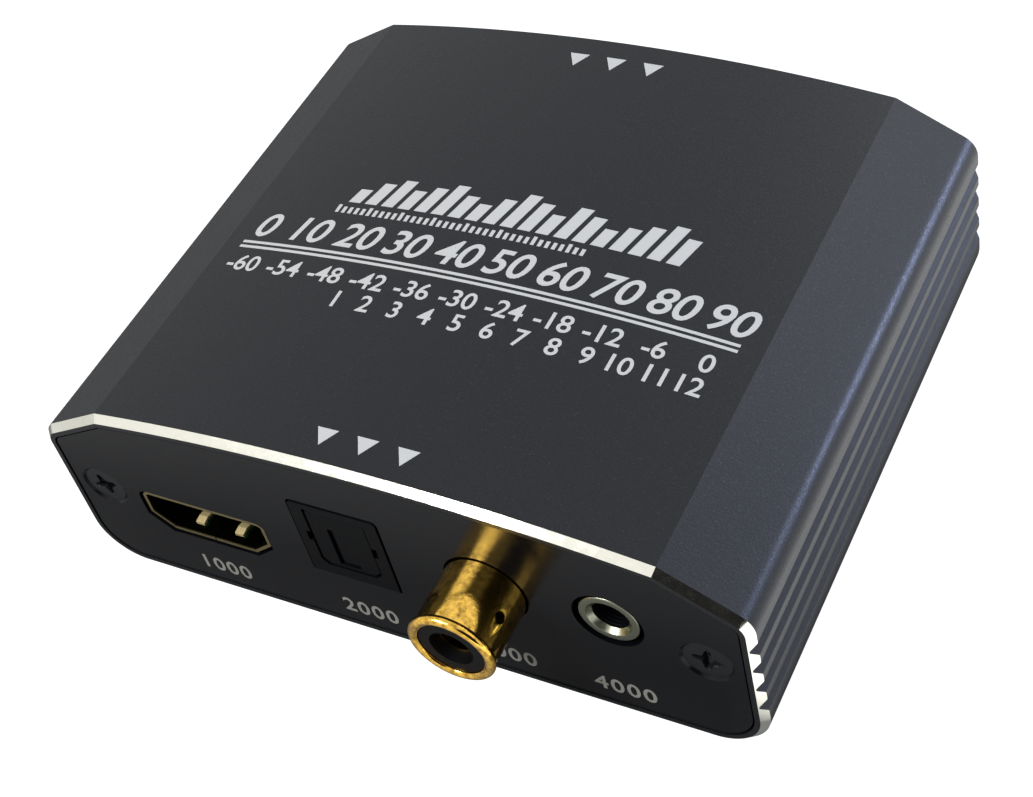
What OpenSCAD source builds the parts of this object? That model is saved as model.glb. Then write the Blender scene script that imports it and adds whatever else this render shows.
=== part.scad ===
// Small converter box with an extruded aluminium body, two inset end panels and a board of sockets.
// Z is up, the output sockets face -Y, and the origin is the middle of the underside.

/* [Housing] */
// Width of the body across the tips of the side ribs
body_w = 76; // [75:0.5:88]
// Depth of the body from front face to rear face
body_d = 63; // [58:0.5:90]
// Height of the body at the crown of the top
body_h = 26.3; // [25:0.1:34]
// Width of each sloping shoulder, seen from above
shoulder_w = 8.3; // [7:0.1:10]
// Rise of the arch from its edges to the crown
crown_rise = 2.05; // [1:0.05:3]
// Drop of each sloping shoulder
shoulder_drop = 4.5; // [3:0.1:6]
// Radius where a shoulder meets its side
shoulder_r = 2.6; // [1:0.1:3]
// Radius of the two long lower edges
bottom_r = 5.6; // [4:0.1:6.5]
// Wall from the outer surface to the cavity
wall_t = 2.1; // [1.8:0.05:2.6]
// Bright 45 degree cut round both ends
edge_cut = 0.7; // [0.6:0.05:0.9]

/* [Side grooves] */
// Height of the lowest groove
groove_first = 7.6; // [7:0.1:8]
// Distance from one groove to the next
groove_pitch = 2.85; // [2.4:0.05:2.9]
// Depth of a groove
groove_depth = 0.62; // [0.5:0.02:0.7]
// Width of a groove at the surface
groove_mouth = 1.75; // [1.4:0.05:1.8]
// Radius of the round bottom of a groove
groove_root_r = 0.38; // [0.3:0.02:0.4]
// Rounding of the rib tips
rib_tip_r = 0.35; // [0.1:0.05:0.5]

/* [End panels] */
// Thickness of an end panel
panel_t = 1.5; // [1:0.1:2]
// Dark rim of the body between the bright cut and the panel
rim_w = 0.55; // [0.4:0.05:0.8]
// Gap between the rim and the panel
panel_gap = 0.2; // [0.1:0.05:0.3]
// Depth of the panel face below the end of the body
panel_set = 0.1; // [0:0.05:0.4]

/* [Screws] */
// Distance from the side of the body to the middle of a screw
screw_inset = 4.95; // [4.7:0.05:5.4]
// Height of the screws as a share of the height of the body
screw_share = 0.4791; // [0.466:0.001:0.53]
// Diameter of the thread
screw_d = 2.4; // [2:0.1:2.8]
// Diameter of the head
head_d = 4.8; // [4.4:0.1:5.2]
// Height of the countersunk head
head_h = 1.2; // [0.9:0.05:1.25]
// Depth of a screw head below its panel
head_set = 0.14; // [0:0.02:0.2]
// Length of the screw from the top of its head
screw_len = 8; // [6:0.5:12]
// Outside diameter of the screw channel in the body
channel_d = 4.6; // [4.4:0.1:5]

/* [Board] */
// Height of the top of the board as a share of the height of the body
board_share = 0.3118; // [0.305:0.001:0.325]
// Thickness of the board
board_t = 1.6; // [1.2:0.1:1.8]
// How far the side rails reach over the board
rail_reach = 1.3; // [0.8:0.1:1.8]
// Thickness of a rail
rail_t = 1; // [0.8:0.1:1.2]

/* [Video sockets] */
// Width of the metal shell
video_w = 14.7; // [14.5:0.1:15.2]
// Height of the metal shell
video_h = 5.2; // [5:0.1:5.8]
// Length of the metal shell
video_len = 11.6; // [10:0.1:14]
// Thickness of the sheet of the shell
video_sheet = 0.35; // [0.25:0.05:0.45]
// Width of each slanted lower corner
video_slant_w = 2.3; // [1.8:0.1:2.6]
// Height of each slanted lower corner
video_slant_h = 1.9; // [1.5:0.1:2.2]
// Rounding of the upper corners
video_r = 0.8; // [0.6:0.1:1.2]
// Depth of the shell edge behind the end of the body
video_set = 0.3; // [0.2:0.05:0.8]

/* [Optical socket] */
// Width of the socket body
optical_w = 9.7; // [9.4:0.1:10.4]
// Height of the front face of the socket
optical_h = 10.4; // [10:0.1:11.2]
// Length of the socket body
optical_len = 13.6; // [13.2:0.1:16]
// Width of the plug opening
optical_port_w = 6.8; // [6.4:0.1:7]
// Height of the plug opening
optical_port_h = 8.4; // [8:0.1:8.8]
// Thickness of the hinged shutter
shutter_t = 1; // [0.8:0.05:1.1]
// Gap round the shutter
shutter_gap = 0.2; // [0.15:0.05:0.3]
// Width of the L shaped groove in the shutter
shutter_mark_w = 0.6; // [0.4:0.05:0.8]

/* [Coaxial socket] */
// Height of its axis above the board
coax_z = 6.05; // [5.8:0.05:7]
// Diameter of the barrel
coax_d = 8.3; // [8:0.1:8.4]
// Diameter of the rolled lip of the barrel
coax_lip_d = 8.76; // [8.5:0.02:9]
// How far the barrel stands out of the body
coax_out = 7.2; // [6:0.1:9]
// Thickness of the barrel sheet
coax_sheet = 0.75; // [0.5:0.05:0.9]
// Bore of the centre contact
coax_bore = 3.24; // [3.1:0.02:3.3]

/* [Stereo socket] */
// Height of its axis above the board
stereo_z = 6.4; // [6:0.05:7]
// Outside diameter of the metal ring
stereo_d = 6; // [5.6:0.1:6.4]
// Bore of the metal ring
stereo_bore = 3.6; // [3.55:0.01:3.7]
// Depth of the ring face behind the end of the body
stereo_set = 0.3; // [0.1:0.05:0.6]
// Length of the socket body
stereo_len = 12; // [11.5:0.5:14]

/* [Power socket] */
// Height of its axis above the board
power_z = 6.5; // [6.2:0.1:7]
// Diameter of the round front of the socket
power_d = 8; // [7.6:0.1:8.4]
// Bore for the plug
power_bore = 5.8; // [5.6:0.1:6]
// Diameter of the centre pin
power_pin_d = 2; // [1.6:0.1:2.5]
// Length of the socket body
power_len = 14; // [13.5:0.5:16]

/* [Mode switch] */
// Width of the switch body
switch_w = 12.6; // [12.4:0.1:14]
// Height of the switch body
switch_h = 5.6; // [5.2:0.1:6]
// Travel of the knob to each side of its middle place
switch_travel = 2; // [1:0.1:2.2]
// Width of the knob
knob_w = 3; // [2:0.1:3.2]
// Height of the knob
knob_h = 2.4; // [2:0.1:2.6]
// How far the knob stands out of the body
knob_out = 1.5; // [0.5:0.1:3]

/* [Power light] */
// Height of the light above the board
light_z = 3.4; // [3:0.1:6]
// Diameter of the light
light_d = 3; // [2.8:0.1:3.2]

/* [Parts on the board] */
// Side of the square converter chip
chip_w = 15; // [12:0.5:17]
// Height of the converter chip
chip_h = 1.2; // [1:0.1:1.6]
// Thickness of the soft pad between chip and heat sink
pad_t = 0.5; // [0.3:0.1:1]
// Height of the heat sink
sink_h = 6; // [4:0.5:8]
// Number of fins on the heat sink
sink_fins = 6; // [4:1:7]
// Diameter of a storage capacitor
can_d = 6.3; // [5:0.1:6.4]
// Height of a storage capacitor
can_h = 5.4; // [5:0.1:7.7]

/* [Hidden] */
$fn = 64;
// Facets of the very large circle of the crown
crown_fn = 720;
// Overrun of every cut, so that no cut ends on a face
over = 0.5;
// Thin clearance between pieces that are assembled and stay put
snug = 0.05;
// Clearance of a running fit on the radius
running = 0.05;

half_w = body_w / 2;
half_d = body_d / 2;
front_y = -half_d;
rear_y = half_d;
reach = 2 * (body_w + body_h);

// Outline of the body, seen from the front
kink_x = half_w - shoulder_w;
kink_z = body_h - crown_rise;
crown_r = (kink_x * kink_x + crown_rise * crown_rise) / (2 * crown_rise);
slope_a = atan2(shoulder_drop, shoulder_w);
slope_n = kink_x * sin(slope_a) + kink_z * cos(slope_a);
inner_r = 0.4;
// The cut goes this much deeper on the crown, so that no four faces meet in one point
cut_hair = 0.01;

pocket_in = edge_cut + rim_w;
pocket_depth = panel_set + panel_t;
// Room between the back of a panel and the socket bodies behind it
behind_panel = 0.3;
body_y = pocket_depth + behind_panel;
panel_in = pocket_in + panel_gap;

// Plain height of the side kept above the grooves
groove_keep = 2.2;
groove_n = floor((kink_z - shoulder_drop - bottom_r - groove_keep) / groove_pitch);

screw_x = half_w - screw_inset;
screw_z = screw_share * body_h;
pilot_r = screw_d / 2 + snug;
channel_slit = 0.9;
cross_w = 1.15;
cross_tip = 0.5;
cross_len = 3;
cross_depth = 0.8;

board_z = board_share * body_h;
side_in = half_w - wall_t;
board_slack = 0.15;
board_w = 2 * (side_in - board_slack);
board_end = 0.5;
board_d = body_d - 2 * (pocket_depth + board_end);
rail_gap = board_t + 2 * board_slack;

video_cut_gap = 0.33;
video_slant_a = atan2(video_slant_h, video_slant_w);
video_back = 4.2;
tongue_w = 11;
tongue_t = 1;
tongue_top = 1.15;
tongue_start = 1.3;
pin_pitch = 1;
pin_w = 0.34;
pin_t = 0.12;
pin_upper = 10;
pin_lower = 9;
spring_x = 2.4;
spring_w = 1;
spring_start = 0.7;
spring_len = 3.4;
spring_rise = 0.5;
spring_slot = 0.3;
seam_w = 0.12;

optical_lift = 1;
optical_cut_gap = 0.22;
optical_r = 0.5;
optical_roof = 0.7;
optical_wall_back = 2;
port_top = optical_lift + optical_h - optical_roof;
port_bottom = port_top - optical_port_h;
port_mid = (port_top + port_bottom) / 2;
notch_h = 1.4;
notch_d = 0.5;
shutter_set = 0.1;
shutter_pin_r = 0.4;
shutter_pin_len = 0.55;
hinge_r = 0.6 * shutter_t;
hinge_y = shutter_set + hinge_r;
hinge_z = port_top - shutter_gap - hinge_r;
shutter_w = optical_port_w - 2 * shutter_gap;
shutter_bottom = port_bottom + shutter_gap;
shutter_corner = 0.7;
shutter_mark_depth = 0.35;
shutter_mark_x = 1.3;
shutter_mark_z = 0.35;
shutter_mark_h = 5.4;
shutter_mark_len = 2.4;
swing_r = hinge_z - shutter_bottom;
port_depth = hinge_y + swing_r + 2 * shutter_gap;
ferrule_r = 1.35;
emitter_w = 5.2;
emitter_h = 5.6;
emitter_t = 1.6;
lead_w = 0.5;
lead_pitch = 1.9;

coax_r = coax_d / 2;
coax_lip_r = coax_lip_d / 2;
coax_lip_bead = 0.5;
coax_in_r = coax_r - coax_sheet;
coax_hole_r = 0.6;
coax_hole_n = 3;
coax_hole_a = 27;
coax_hole_y = 3.5;
coax_flange_t = 0.6;
coax_flange_r = coax_r + coax_flange_t;
coax_flange_y = pocket_depth + coax_flange_t / 2;
coax_cut_gap = 0.2;
coax_face_set = 0.35;
coax_mouth_r = 2.2;
coax_contact_wall = 0.35;
coax_contact_r = coax_bore / 2 + coax_contact_wall;
coax_contact_set = 1.5;
coax_tube_end = 1.5;
coax_rod_r = 0.6;
coax_plug_t = 2.2;
coax_base_w = 10;
coax_base_len = 7;
coax_base_wall = 1.2;
coax_leg_w = 1.6;

stereo_r = stereo_d / 2;
stereo_ring_len = 4;
stereo_mouth = 0.3;
stereo_cut_gap = 0.5;
stereo_cut_r = stereo_r + stereo_cut_gap;
stereo_body_w = 8.6;
stereo_body_top = 3.8;
stereo_leaf_n = 3;
stereo_leaf_t = 0.3;
stereo_leaf_w = 1.6;
stereo_leaf_pitch = 2.6;

power_r = power_d / 2;
power_cut_gap = 0.25;
power_body_w = 9;
power_body_top = 4.4;
power_face_set = 0.15;
power_bore_len = 9.6;
power_pin_set = 1.2;
power_leaf_y = 4;
power_leaf_t = 0.3;
power_leaf_w = 2;

switch_sheet = 0.3;
switch_len = 4.8;
switch_gap = 0.3;
switch_base_t = 0.8;
knob_foot_more = 1.2;
knob_foot_w = knob_w + 2 * knob_foot_more;
knob_foot_t = 1.8;
knob_step = 0.3;
knob_foot_h = switch_h - 2 * (switch_sheet + switch_gap);
knob_slot_h = knob_h + 2 * switch_gap;
knob_slot_w = knob_w + 2 * (switch_travel + switch_gap);
switch_pin_n = 4;
switch_pin_pitch = 2.5;
switch_pin_w = 0.6;

light_r = light_d / 2;
light_out = 0.6;
light_len = 4.8;
light_collar = 0.25;
light_lead_w = 0.5;
light_lead_span = 2.54;
light_lead_run = 2;

sink_base = 1.5;
sink_fin_t = 1;
can_base_h = 1.1;
can_foot = 0.25;
can_foot_w = can_d + can_foot;
can_n = 3;
coil_w = 7;
coil_h = 4;
coil_r = 1;
coil_rim = 0.5;
crystal_w = 11;
crystal_d = 4.6;
crystal_h = 3.6;
crystal_foot = 0.5;
soic_h = 1.6;
soic_w = 3.9;
soic_step = 1.27;
soic_lead = 1.05;
soic_lead_t = 0.22;
soic_lead_w = 0.42;
audio_leads = 8;
memory_leads = 4;
audio_len = audio_leads * soic_step;
memory_len = memory_leads * soic_step;
regulator_w = 6.5;
regulator_d = 3.5;
regulator_tab_w = 3;
regulator_step = 2.3;
regulator_lead_w = 0.75;
regulator_span = regulator_d + 2 * soic_lead;

// Rows of sockets and parts stand between the screw channels, each piece after its share of the free width
row_half = screw_x - channel_d / 2;
function total(list, n) = n == 0 ? 0 : list[n - 1] + total(list, n - 1);
function row_x(n, widths, gap_shares) =
    total(widths, n) + widths[n] / 2 - row_half
    + total(gap_shares, n + 1) * (2 * row_half - total(widths, len(widths)));

// Front row from the left: video, optical, coaxial and stereo socket
front_widths = [video_w, optical_w, coax_base_w, stereo_body_w];
front_shares = [0.13514, 0.27189, 0.29297, 0.16216];
video_out_x = row_x(0, front_widths, front_shares);
optical_x = row_x(1, front_widths, front_shares);
coax_x = row_x(2, front_widths, front_shares);
stereo_x = row_x(3, front_widths, front_shares);

// Rear row in the same direction: light, switch, video and power socket
rear_widths = [light_d + 2 * light_collar, switch_w, video_w, power_body_w];
rear_shares = [0.11521, 0.20507, 0.24654, 0.23733];
light_x = row_x(0, rear_widths, rear_shares);
switch_x = row_x(1, rear_widths, rear_shares);
video_in_x = row_x(2, rear_widths, rear_shares);
power_x = row_x(3, rear_widths, rear_shares);

// Five columns of parts on the board with even gaps, and the depths of the parts in each column
column_widths = [regulator_w, soic_w + 2 * soic_lead, chip_w, coil_w, can_foot_w];
column_shares = [for (w = column_widths) 1 / (len(column_widths) + 1)];
column_parts = [
    [regulator_span, regulator_span], [memory_len, crystal_w], [chip_w], [audio_len, coil_w],
    [for (i = [1 : can_n]) can_foot_w]
];
part_gap = 1.2;
// Middle of part number n of a column that is centred on the board
function stack_y(n, depths) =
    total(depths, n) + (depths[n] - total(depths, len(depths)) + (2 * n + 1 - len(depths)) * part_gap) / 2;

// A flat section carried along Y from y0 for a given length
module along_y(y0, len) {
    translate([0, y0 + len, 0]) rotate([90, 0, 0]) linear_extrude(height = len) children();
}

// Puts a socket, drawn from the board top with +Y inwards, into the front or the rear wall
module at_front(x) { translate([x, front_y, board_z]) children(); }
module at_rear(x) { translate([x, rear_y, board_z]) rotate([0, 0, 180]) children(); }

// Sections of the body

// Everything below one sloping shoulder
module below_shoulder(inset) {
    rotate(-slope_a) translate([-reach / 2, -reach / 2]) square([reach, reach / 2 + slope_n - inset]);
}

// Sides and floor with the two round lower edges
module tub(inset) {
    translate([-half_w + inset, bottom_r]) square([body_w - 2 * inset, body_h]);
    translate([-half_w + bottom_r, inset]) square([body_w - 2 * bottom_r, body_h]);
    for (side = [-1, 1])
        translate([side * (half_w - bottom_r), bottom_r]) circle(r = bottom_r - inset);
}

// Centre of the rounding between a shoulder and its side
function round_x(inset, r) = half_w - inset - r;
function round_z(inset, r) = (slope_n - inset - r - round_x(inset, r) * sin(slope_a)) / cos(slope_a);

// The sharp corner outside that rounding
module shoulder_tip(inset, r) {
    cx = round_x(inset, r);
    cz = round_z(inset, r);
    far = r + over;
    polygon([
        [cx + r * sin(slope_a), cz + r * cos(slope_a)],
        [cx + far * sin(slope_a), cz + far * cos(slope_a)],
        [cx + far, cz + far],
        [cx + far, cz],
        [cx + r, cz]
    ]);
}

// Outline of the body moved inwards by an inset
module section(inset) {
    r = max(shoulder_r - inset, inner_r);
    difference() {
        intersection() {
            translate([0, body_h - crown_r]) circle(r = crown_r - inset, $fn = crown_fn);
            below_shoulder(inset);
            mirror([1, 0]) below_shoulder(inset);
            tub(inset);
        }
        shoulder_tip(inset, r);
        mirror([1, 0]) shoulder_tip(inset, r);
    }
    for (side = [-1, 1]) translate([side * round_x(inset, r), round_z(inset, r)]) circle(r = r);
}

// Round bar along the body with both ends cut at 45 degrees
module cut_bar(r, cut) {
    rotate([90, 0, 0]) rotate_extrude()
        polygon([
            [0, -half_d], [r - cut, -half_d], [r, -half_d + cut],
            [r, half_d - cut], [r - cut, half_d], [0, half_d]
        ]);
}

// Slab across the body whose upper face is cut at 45 degrees at both ends
module cut_slab(low, high, w) {
    translate([-w / 2, 0, 0]) rotate([90, 0, 90]) linear_extrude(height = w)
        polygon([
            [-half_d, low], [-half_d, high - edge_cut], [-half_d + edge_cut, high],
            [half_d - edge_cut, high], [half_d, high - edge_cut], [half_d, low]
        ]);
}

// The solid bar of the body, with the bright cut round both of its ends
module cut_block() {
    intersection() {
        translate([0, 0, body_h - crown_r]) cut_bar(crown_r, edge_cut + cut_hair, $fn = crown_fn);
        rotate([0, slope_a, 0]) cut_slab(-reach / 2, slope_n, reach);
        rotate([0, -slope_a, 0]) cut_slab(-reach / 2, slope_n, reach);
        union() {
            translate([0, 0, bottom_r]) linear_extrude(height = body_h) polygon([
                [-half_w + edge_cut, -half_d], [half_w - edge_cut, -half_d],
                [half_w, -half_d + edge_cut], [half_w, half_d - edge_cut],
                [half_w - edge_cut, half_d], [-half_w + edge_cut, half_d],
                [-half_w, half_d - edge_cut], [-half_w, -half_d + edge_cut]
            ]);
            mirror([0, 0, 1]) cut_slab(-body_h, 0, body_w - 2 * bottom_r);
            for (side = [-1, 1])
                translate([side * (half_w - bottom_r), 0, bottom_r]) cut_bar(bottom_r, edge_cut);
        }
    }
}

module rounded_block() {
    difference() {
        cut_block();
        along_y(-half_d - over, body_d + 2 * over) {
            shoulder_tip(0, shoulder_r);
            mirror([1, 0]) shoulder_tip(0, shoulder_r);
        }
    }
    for (side = [-1, 1])
        translate([side * round_x(0, shoulder_r), 0, round_z(0, shoulder_r)])
            cut_bar(shoulder_r, edge_cut);
}

// One groove, drawn at the side face and cut inwards, with the rib tips beside it rounded
module groove() {
    half_m = groove_mouth / 2;
    mid = groove_depth - groove_root_r;
    // Each flank runs from the mouth to the point where it touches the round bottom
    touch_a = atan2(half_m, mid) + acos(groove_root_r / norm([mid, half_m]));
    touch = [-mid + groove_root_r * cos(touch_a), groove_root_r * sin(touch_a)];
    flank = norm([touch.x, half_m - touch.y]);
    back = rib_tip_r / tan(acos((touch.y - half_m) / flank) / 2);
    translate([-mid, 0]) circle(r = groove_root_r);
    polygon([
        [over, half_m], [0, half_m], touch, [touch.x, -touch.y], [0, -half_m], [over, -half_m]
    ]);
    for (flip = [0, 1]) mirror([0, flip]) difference() {
        polygon([
            [over, half_m], [over, half_m + back], [0, half_m + back], [-rib_tip_r, half_m + back],
            [0, half_m] + back / flank * (touch - [0, half_m]), [0, half_m]
        ]);
        translate([-rib_tip_r, half_m + back]) circle(r = rib_tip_r);
    }
}

// Screw channel on the right-hand side wall
module channel() {
    translate([screw_x, screw_z]) circle(d = channel_d);
    translate([screw_x, screw_z - channel_d / 4]) square([side_in - screw_x + over, channel_d / 2]);
}

// Pilot hole of the channel with the slit that an extruded channel has
module channel_bore() {
    translate([screw_x, screw_z]) circle(r = pilot_r);
    translate([screw_x - channel_d / 2 - over, screw_z - channel_slit / 2])
        square([channel_d / 2 + over, channel_slit]);
}

// The two rails that hold the edge of the board on the right-hand side
module rails() {
    for (z = [board_z + board_slack, board_z + board_slack - rail_gap - rail_t])
        translate([side_in - board_slack - rail_reach, z])
            square([board_slack + rail_reach + over, rail_t]);
}

module cavity() {
    difference() {
        section(wall_t);
        for (m = [0, 1]) mirror([m, 0]) {
            channel();
            rails();
        }
    }
    for (m = [0, 1]) mirror([m, 0]) channel_bore();
}

module housing() {
    color("#3c3f47") difference() {
        rounded_block();
        along_y(-half_d - over, body_d + 2 * over) cavity();
        for (y0 = [-half_d - over, half_d - pocket_depth])
            along_y(y0, pocket_depth + over) section(pocket_in);
        along_y(-half_d - over, body_d + 2 * over)
            for (m = [0, 1]) mirror([m, 0])
                for (i = [0 : groove_n - 1])
                    translate([half_w, groove_first + i * groove_pitch]) groove();
    }
}

// Panels and screws

// Cone and clearance hole for one screw, seen from the face of the panel
module sink_hole() {
    head_r = head_d / 2 + 2 * snug;
    mouth_r = head_r + head_set * (head_r - pilot_r) / head_h;
    rotate([-90, 0, 0]) {
        translate([0, 0, panel_set]) cylinder(h = head_set + head_h, r1 = mouth_r, r2 = pilot_r);
        translate([0, 0, -over]) cylinder(h = panel_set + over, r = mouth_r);
        cylinder(h = pocket_depth + over, r = pilot_r);
    }
}

module panel_blank() {
    difference() {
        translate([0, front_y, 0]) along_y(panel_set, panel_t) section(panel_in);
        for (side = [-1, 1]) translate([side * screw_x, front_y, screw_z]) sink_hole();
    }
}

module front_panel() {
    color("#2a2c31") difference() {
        panel_blank();
        at_front(video_out_x) panel_cut() video_outline(video_cut_gap);
        at_front(optical_x) panel_cut() optical_face(optical_cut_gap);
        at_front(coax_x) panel_cut() translate([0, coax_z]) circle(r = coax_r + coax_cut_gap);
        at_front(stereo_x) panel_cut() translate([0, stereo_z]) circle(r = stereo_cut_r);
    }
}

module rear_panel() {
    color("#2a2c31") difference() {
        rotate([0, 0, 180]) panel_blank();
        at_rear(video_in_x) panel_cut() video_outline(video_cut_gap);
        at_rear(power_x) panel_cut() translate([0, power_z]) circle(r = power_r + power_cut_gap);
        at_rear(switch_x) panel_cut() translate([-knob_slot_w / 2, (switch_h - knob_slot_h) / 2])
            square([knob_slot_w, knob_slot_h]);
        at_rear(light_x) panel_cut() translate([0, light_z]) circle(r = light_r + running * 2);
    }
}

module panel_cut() { along_y(-over, pocket_depth + 2 * over) children(); }

// Countersunk screw pointing to +Y with its head flush with the panel face
module screw() {
    translate([0, panel_set + head_set + snug, 0]) rotate([-90, 0, 0]) difference() {
        union() {
            cylinder(h = head_h - snug, r1 = head_d / 2, r2 = screw_d / 2);
            cylinder(h = screw_len, d = screw_d);
        }
        for (turn = [0, 90], side = [0, 180]) rotate([0, 0, turn + side])
            translate([0, 0, -over]) linear_extrude(height = cross_depth + over) polygon([
                [0, -cross_w / 2], [cross_len / 2, -cross_tip / 2], [cross_len / 2, cross_tip / 2],
                [0, cross_w / 2]
            ]);
    }
}

module screw_pair() {
    for (side = [-1, 1]) translate([side * screw_x, front_y, screw_z]) screw();
}

module front_screws() { color("#17181a") screw_pair(); }
module rear_screws() { color("#17181a") rotate([0, 0, 180]) screw_pair(); }

module circuit_board() {
    color("#1d4a32") translate([-board_w / 2, -board_d / 2, board_z - board_t])
        cube([board_w, board_d, board_t]);
}

// Video sockets

// D shaped outline standing on the board, grown by a margin
module video_outline(grow) {
    half = video_w / 2 + grow;
    low = -grow;
    top = video_h + grow;
    r = video_r + grow;
    side_z = video_slant_h - grow * tan((90 - video_slant_a) / 2);
    floor_x = video_w / 2 - video_slant_w + grow * tan(video_slant_a / 2);
    polygon([
        [-floor_x, low], [floor_x, low], [half, side_z], [half, top - r], [half - r, top - r],
        [half - r, top], [r - half, top], [r - half, top - r], [-half, top - r], [-half, side_z]
    ]);
    for (side = [-1, 1]) translate([side * (half - r), top - r]) circle(r = r);
}

// One spring finger of the shell floor, bent up into the socket
module video_spring() {
    y0 = video_set + spring_start + spring_slot;
    y1 = video_set + spring_start + spring_len;
    crest = y0 + (y1 - y0) / 4;
    translate([-spring_w / 2, 0, 0]) rotate([90, 0, 90]) linear_extrude(height = spring_w)
        polygon([
            [y1 + over, 0], [y1, 0], [crest, spring_rise], [y0, video_sheet],
            [y0, video_sheet + video_sheet], [crest, spring_rise + video_sheet],
            [y1, video_sheet], [y1 + over, video_sheet]
        ]);
}

module video_shell() {
    slot_w = spring_w + 2 * spring_slot;
    difference() {
        along_y(video_set, video_len) video_outline(0);
        along_y(video_set - over, video_len + 2 * over) video_outline(-video_sheet);
        for (side = [-1, 1])
            translate([side * spring_x - slot_w / 2, video_set + spring_start, -over])
                cube([slot_w, spring_len, video_sheet + over + snug]);
        translate([-seam_w / 2, 0, -over])
            cube([seam_w, video_set + video_len + over, video_sheet + over + snug]);
    }
    for (side = [-1, 1]) translate([side * spring_x, 0, 0]) video_spring();
}

// Heights of the two faces of the tongue
tongue_hi = video_h - video_sheet - tongue_top;
tongue_lo = tongue_hi - tongue_t;
video_end = video_set + video_len;
tail_t = 0.25;

// One contact: a strip on the tongue that runs back and bends down to the board
module video_contact(x, z, tail_y) {
    y0 = video_set + tongue_start + pin_w;
    translate([x - pin_w / 2, y0, z]) cube([pin_w, tail_y - y0, pin_t]);
    translate([x - pin_w / 2, tail_y - tail_t, 0]) cube([pin_w, tail_t, z + pin_t]);
}

module video_contacts() {
    for (i = [0 : pin_upper - 1])
        video_contact((i - (pin_upper - 1) / 2) * pin_pitch, tongue_hi, video_end + 3 * tail_t);
    for (i = [0 : pin_lower - 1])
        video_contact((i - (pin_lower - 1) / 2) * pin_pitch, tongue_lo - pin_t, video_end + tail_t);
}

module video_insulator() {
    difference() {
        union() {
            along_y(video_end - video_back, video_back) video_outline(-video_sheet - snug);
            translate([-tongue_w / 2, video_set + tongue_start, tongue_lo])
                cube([tongue_w, video_len - tongue_start - over, tongue_t]);
        }
        video_contacts();
    }
}

module video_out_shell() { color("#b9b8a8") at_front(video_out_x) video_shell(); }
module video_out_insulator() { color("#151517") at_front(video_out_x) video_insulator(); }
module video_out_contacts() { color("#d8b048") at_front(video_out_x) video_contacts(); }
module video_in_shell() { color("#b9b8a8") at_rear(video_in_x) video_shell(); }
module video_in_insulator() { color("#151517") at_rear(video_in_x) video_insulator(); }
module video_in_contacts() { color("#d8b048") at_rear(video_in_x) video_contacts(); }

// Optical socket

// Front face of the socket with rounded upper corners, grown by a margin
module optical_face(grow) {
    half = optical_w / 2 + grow;
    low = optical_lift - grow;
    top = optical_lift + optical_h + grow;
    r = optical_r + grow;
    polygon([
        [-half, low], [half, low], [half, top - r], [half - r, top - r],
        [half - r, top], [r - half, top], [r - half, top - r], [-half, top - r]
    ]);
    for (side = [-1, 1]) translate([side * (half - r), top - r]) circle(r = r);
}

// Opening for the plug: two slanted lower corners and a catch notch in each side
module port_outline(margin) {
    half = optical_port_w / 2 - margin;
    low = port_bottom + margin;
    polygon([
        [shutter_corner - half, low], [half - shutter_corner, low], [half, low + shutter_corner],
        [half, port_top - margin], [-half, port_top - margin], [-half, low + shutter_corner]
    ]);
}

module optical_body() {
    back_y = port_depth + optical_wall_back;
    color("#191a1c") at_front(optical_x) difference() {
        union() {
            along_y(0, optical_len) optical_face(0);
            translate([-optical_w / 2, body_y, 0])
                cube([optical_w, optical_len - body_y, optical_lift + optical_h / 2]);
        }
        along_y(-over, port_depth + over) port_outline(0);
        for (side = [-1, 1])
            translate([side * optical_port_w / 2, port_depth / 2, port_mid])
                cube([2 * notch_d, port_depth + 2 * over, notch_h], center = true);
        translate([0, port_depth - over, port_mid]) rotate([-90, 0, 0])
            cylinder(h = optical_wall_back + 2 * over, r = ferrule_r);
        translate([-emitter_w / 2 - snug, back_y, -over])
            cube([emitter_w + 2 * snug, optical_len - back_y + over,
                port_mid + emitter_h / 2 + snug + over]);
        translate([0, hinge_y, hinge_z]) rotate([0, 90, 0])
            cylinder(h = optical_port_w + 2 * (shutter_pin_len + 2 * running), r = shutter_pin_r + running,
                center = true);
    }
}

module optical_shutter() {
    color("#1b1c1f") at_front(optical_x) difference() {
        union() {
            intersection() {
                along_y(shutter_set, shutter_t) port_outline(shutter_gap);
                translate([-shutter_w, 0, 0]) cube([2 * shutter_w, port_depth, hinge_z]);
            }
            translate([0, hinge_y, hinge_z]) rotate([0, 90, 0]) {
                cylinder(h = shutter_w, r = hinge_r, center = true);
                cylinder(h = optical_port_w + 2 * shutter_pin_len, r = shutter_pin_r, center = true);
            }
        }
        shutter_mark();
    }
}

// L shaped groove in the face of the shutter
module shutter_mark() {
    depth = over + shutter_set + shutter_mark_depth;
    translate([-shutter_mark_x, -over, shutter_bottom + shutter_mark_z])
        cube([shutter_mark_w, depth, shutter_mark_h]);
    translate([-shutter_mark_x, -over, shutter_bottom + shutter_mark_z])
        cube([shutter_mark_len, depth, shutter_mark_w]);
}

module optical_emitter() {
    back_y = port_depth + optical_wall_back;
    low = port_mid - emitter_h / 2;
    color("#5a1a20") at_front(optical_x) {
        translate([-emitter_w / 2, back_y + snug, low]) cube([emitter_w, emitter_t, emitter_h]);
        translate([0, back_y + snug + over, port_mid]) rotate([90, 0, 0])
            cylinder(h = optical_wall_back / 2 + over, r = ferrule_r - 2 * snug);
        for (i = [-1, 0, 1])
            translate([i * lead_pitch - lead_w / 2, back_y + snug + emitter_t / 2, 0])
                cube([lead_w, lead_w, low + lead_w]);
    }
}

// Coaxial socket

module coax_axis() { at_front(coax_x) translate([0, 0, coax_z]) rotate([-90, 0, 0]) children(); }

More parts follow.
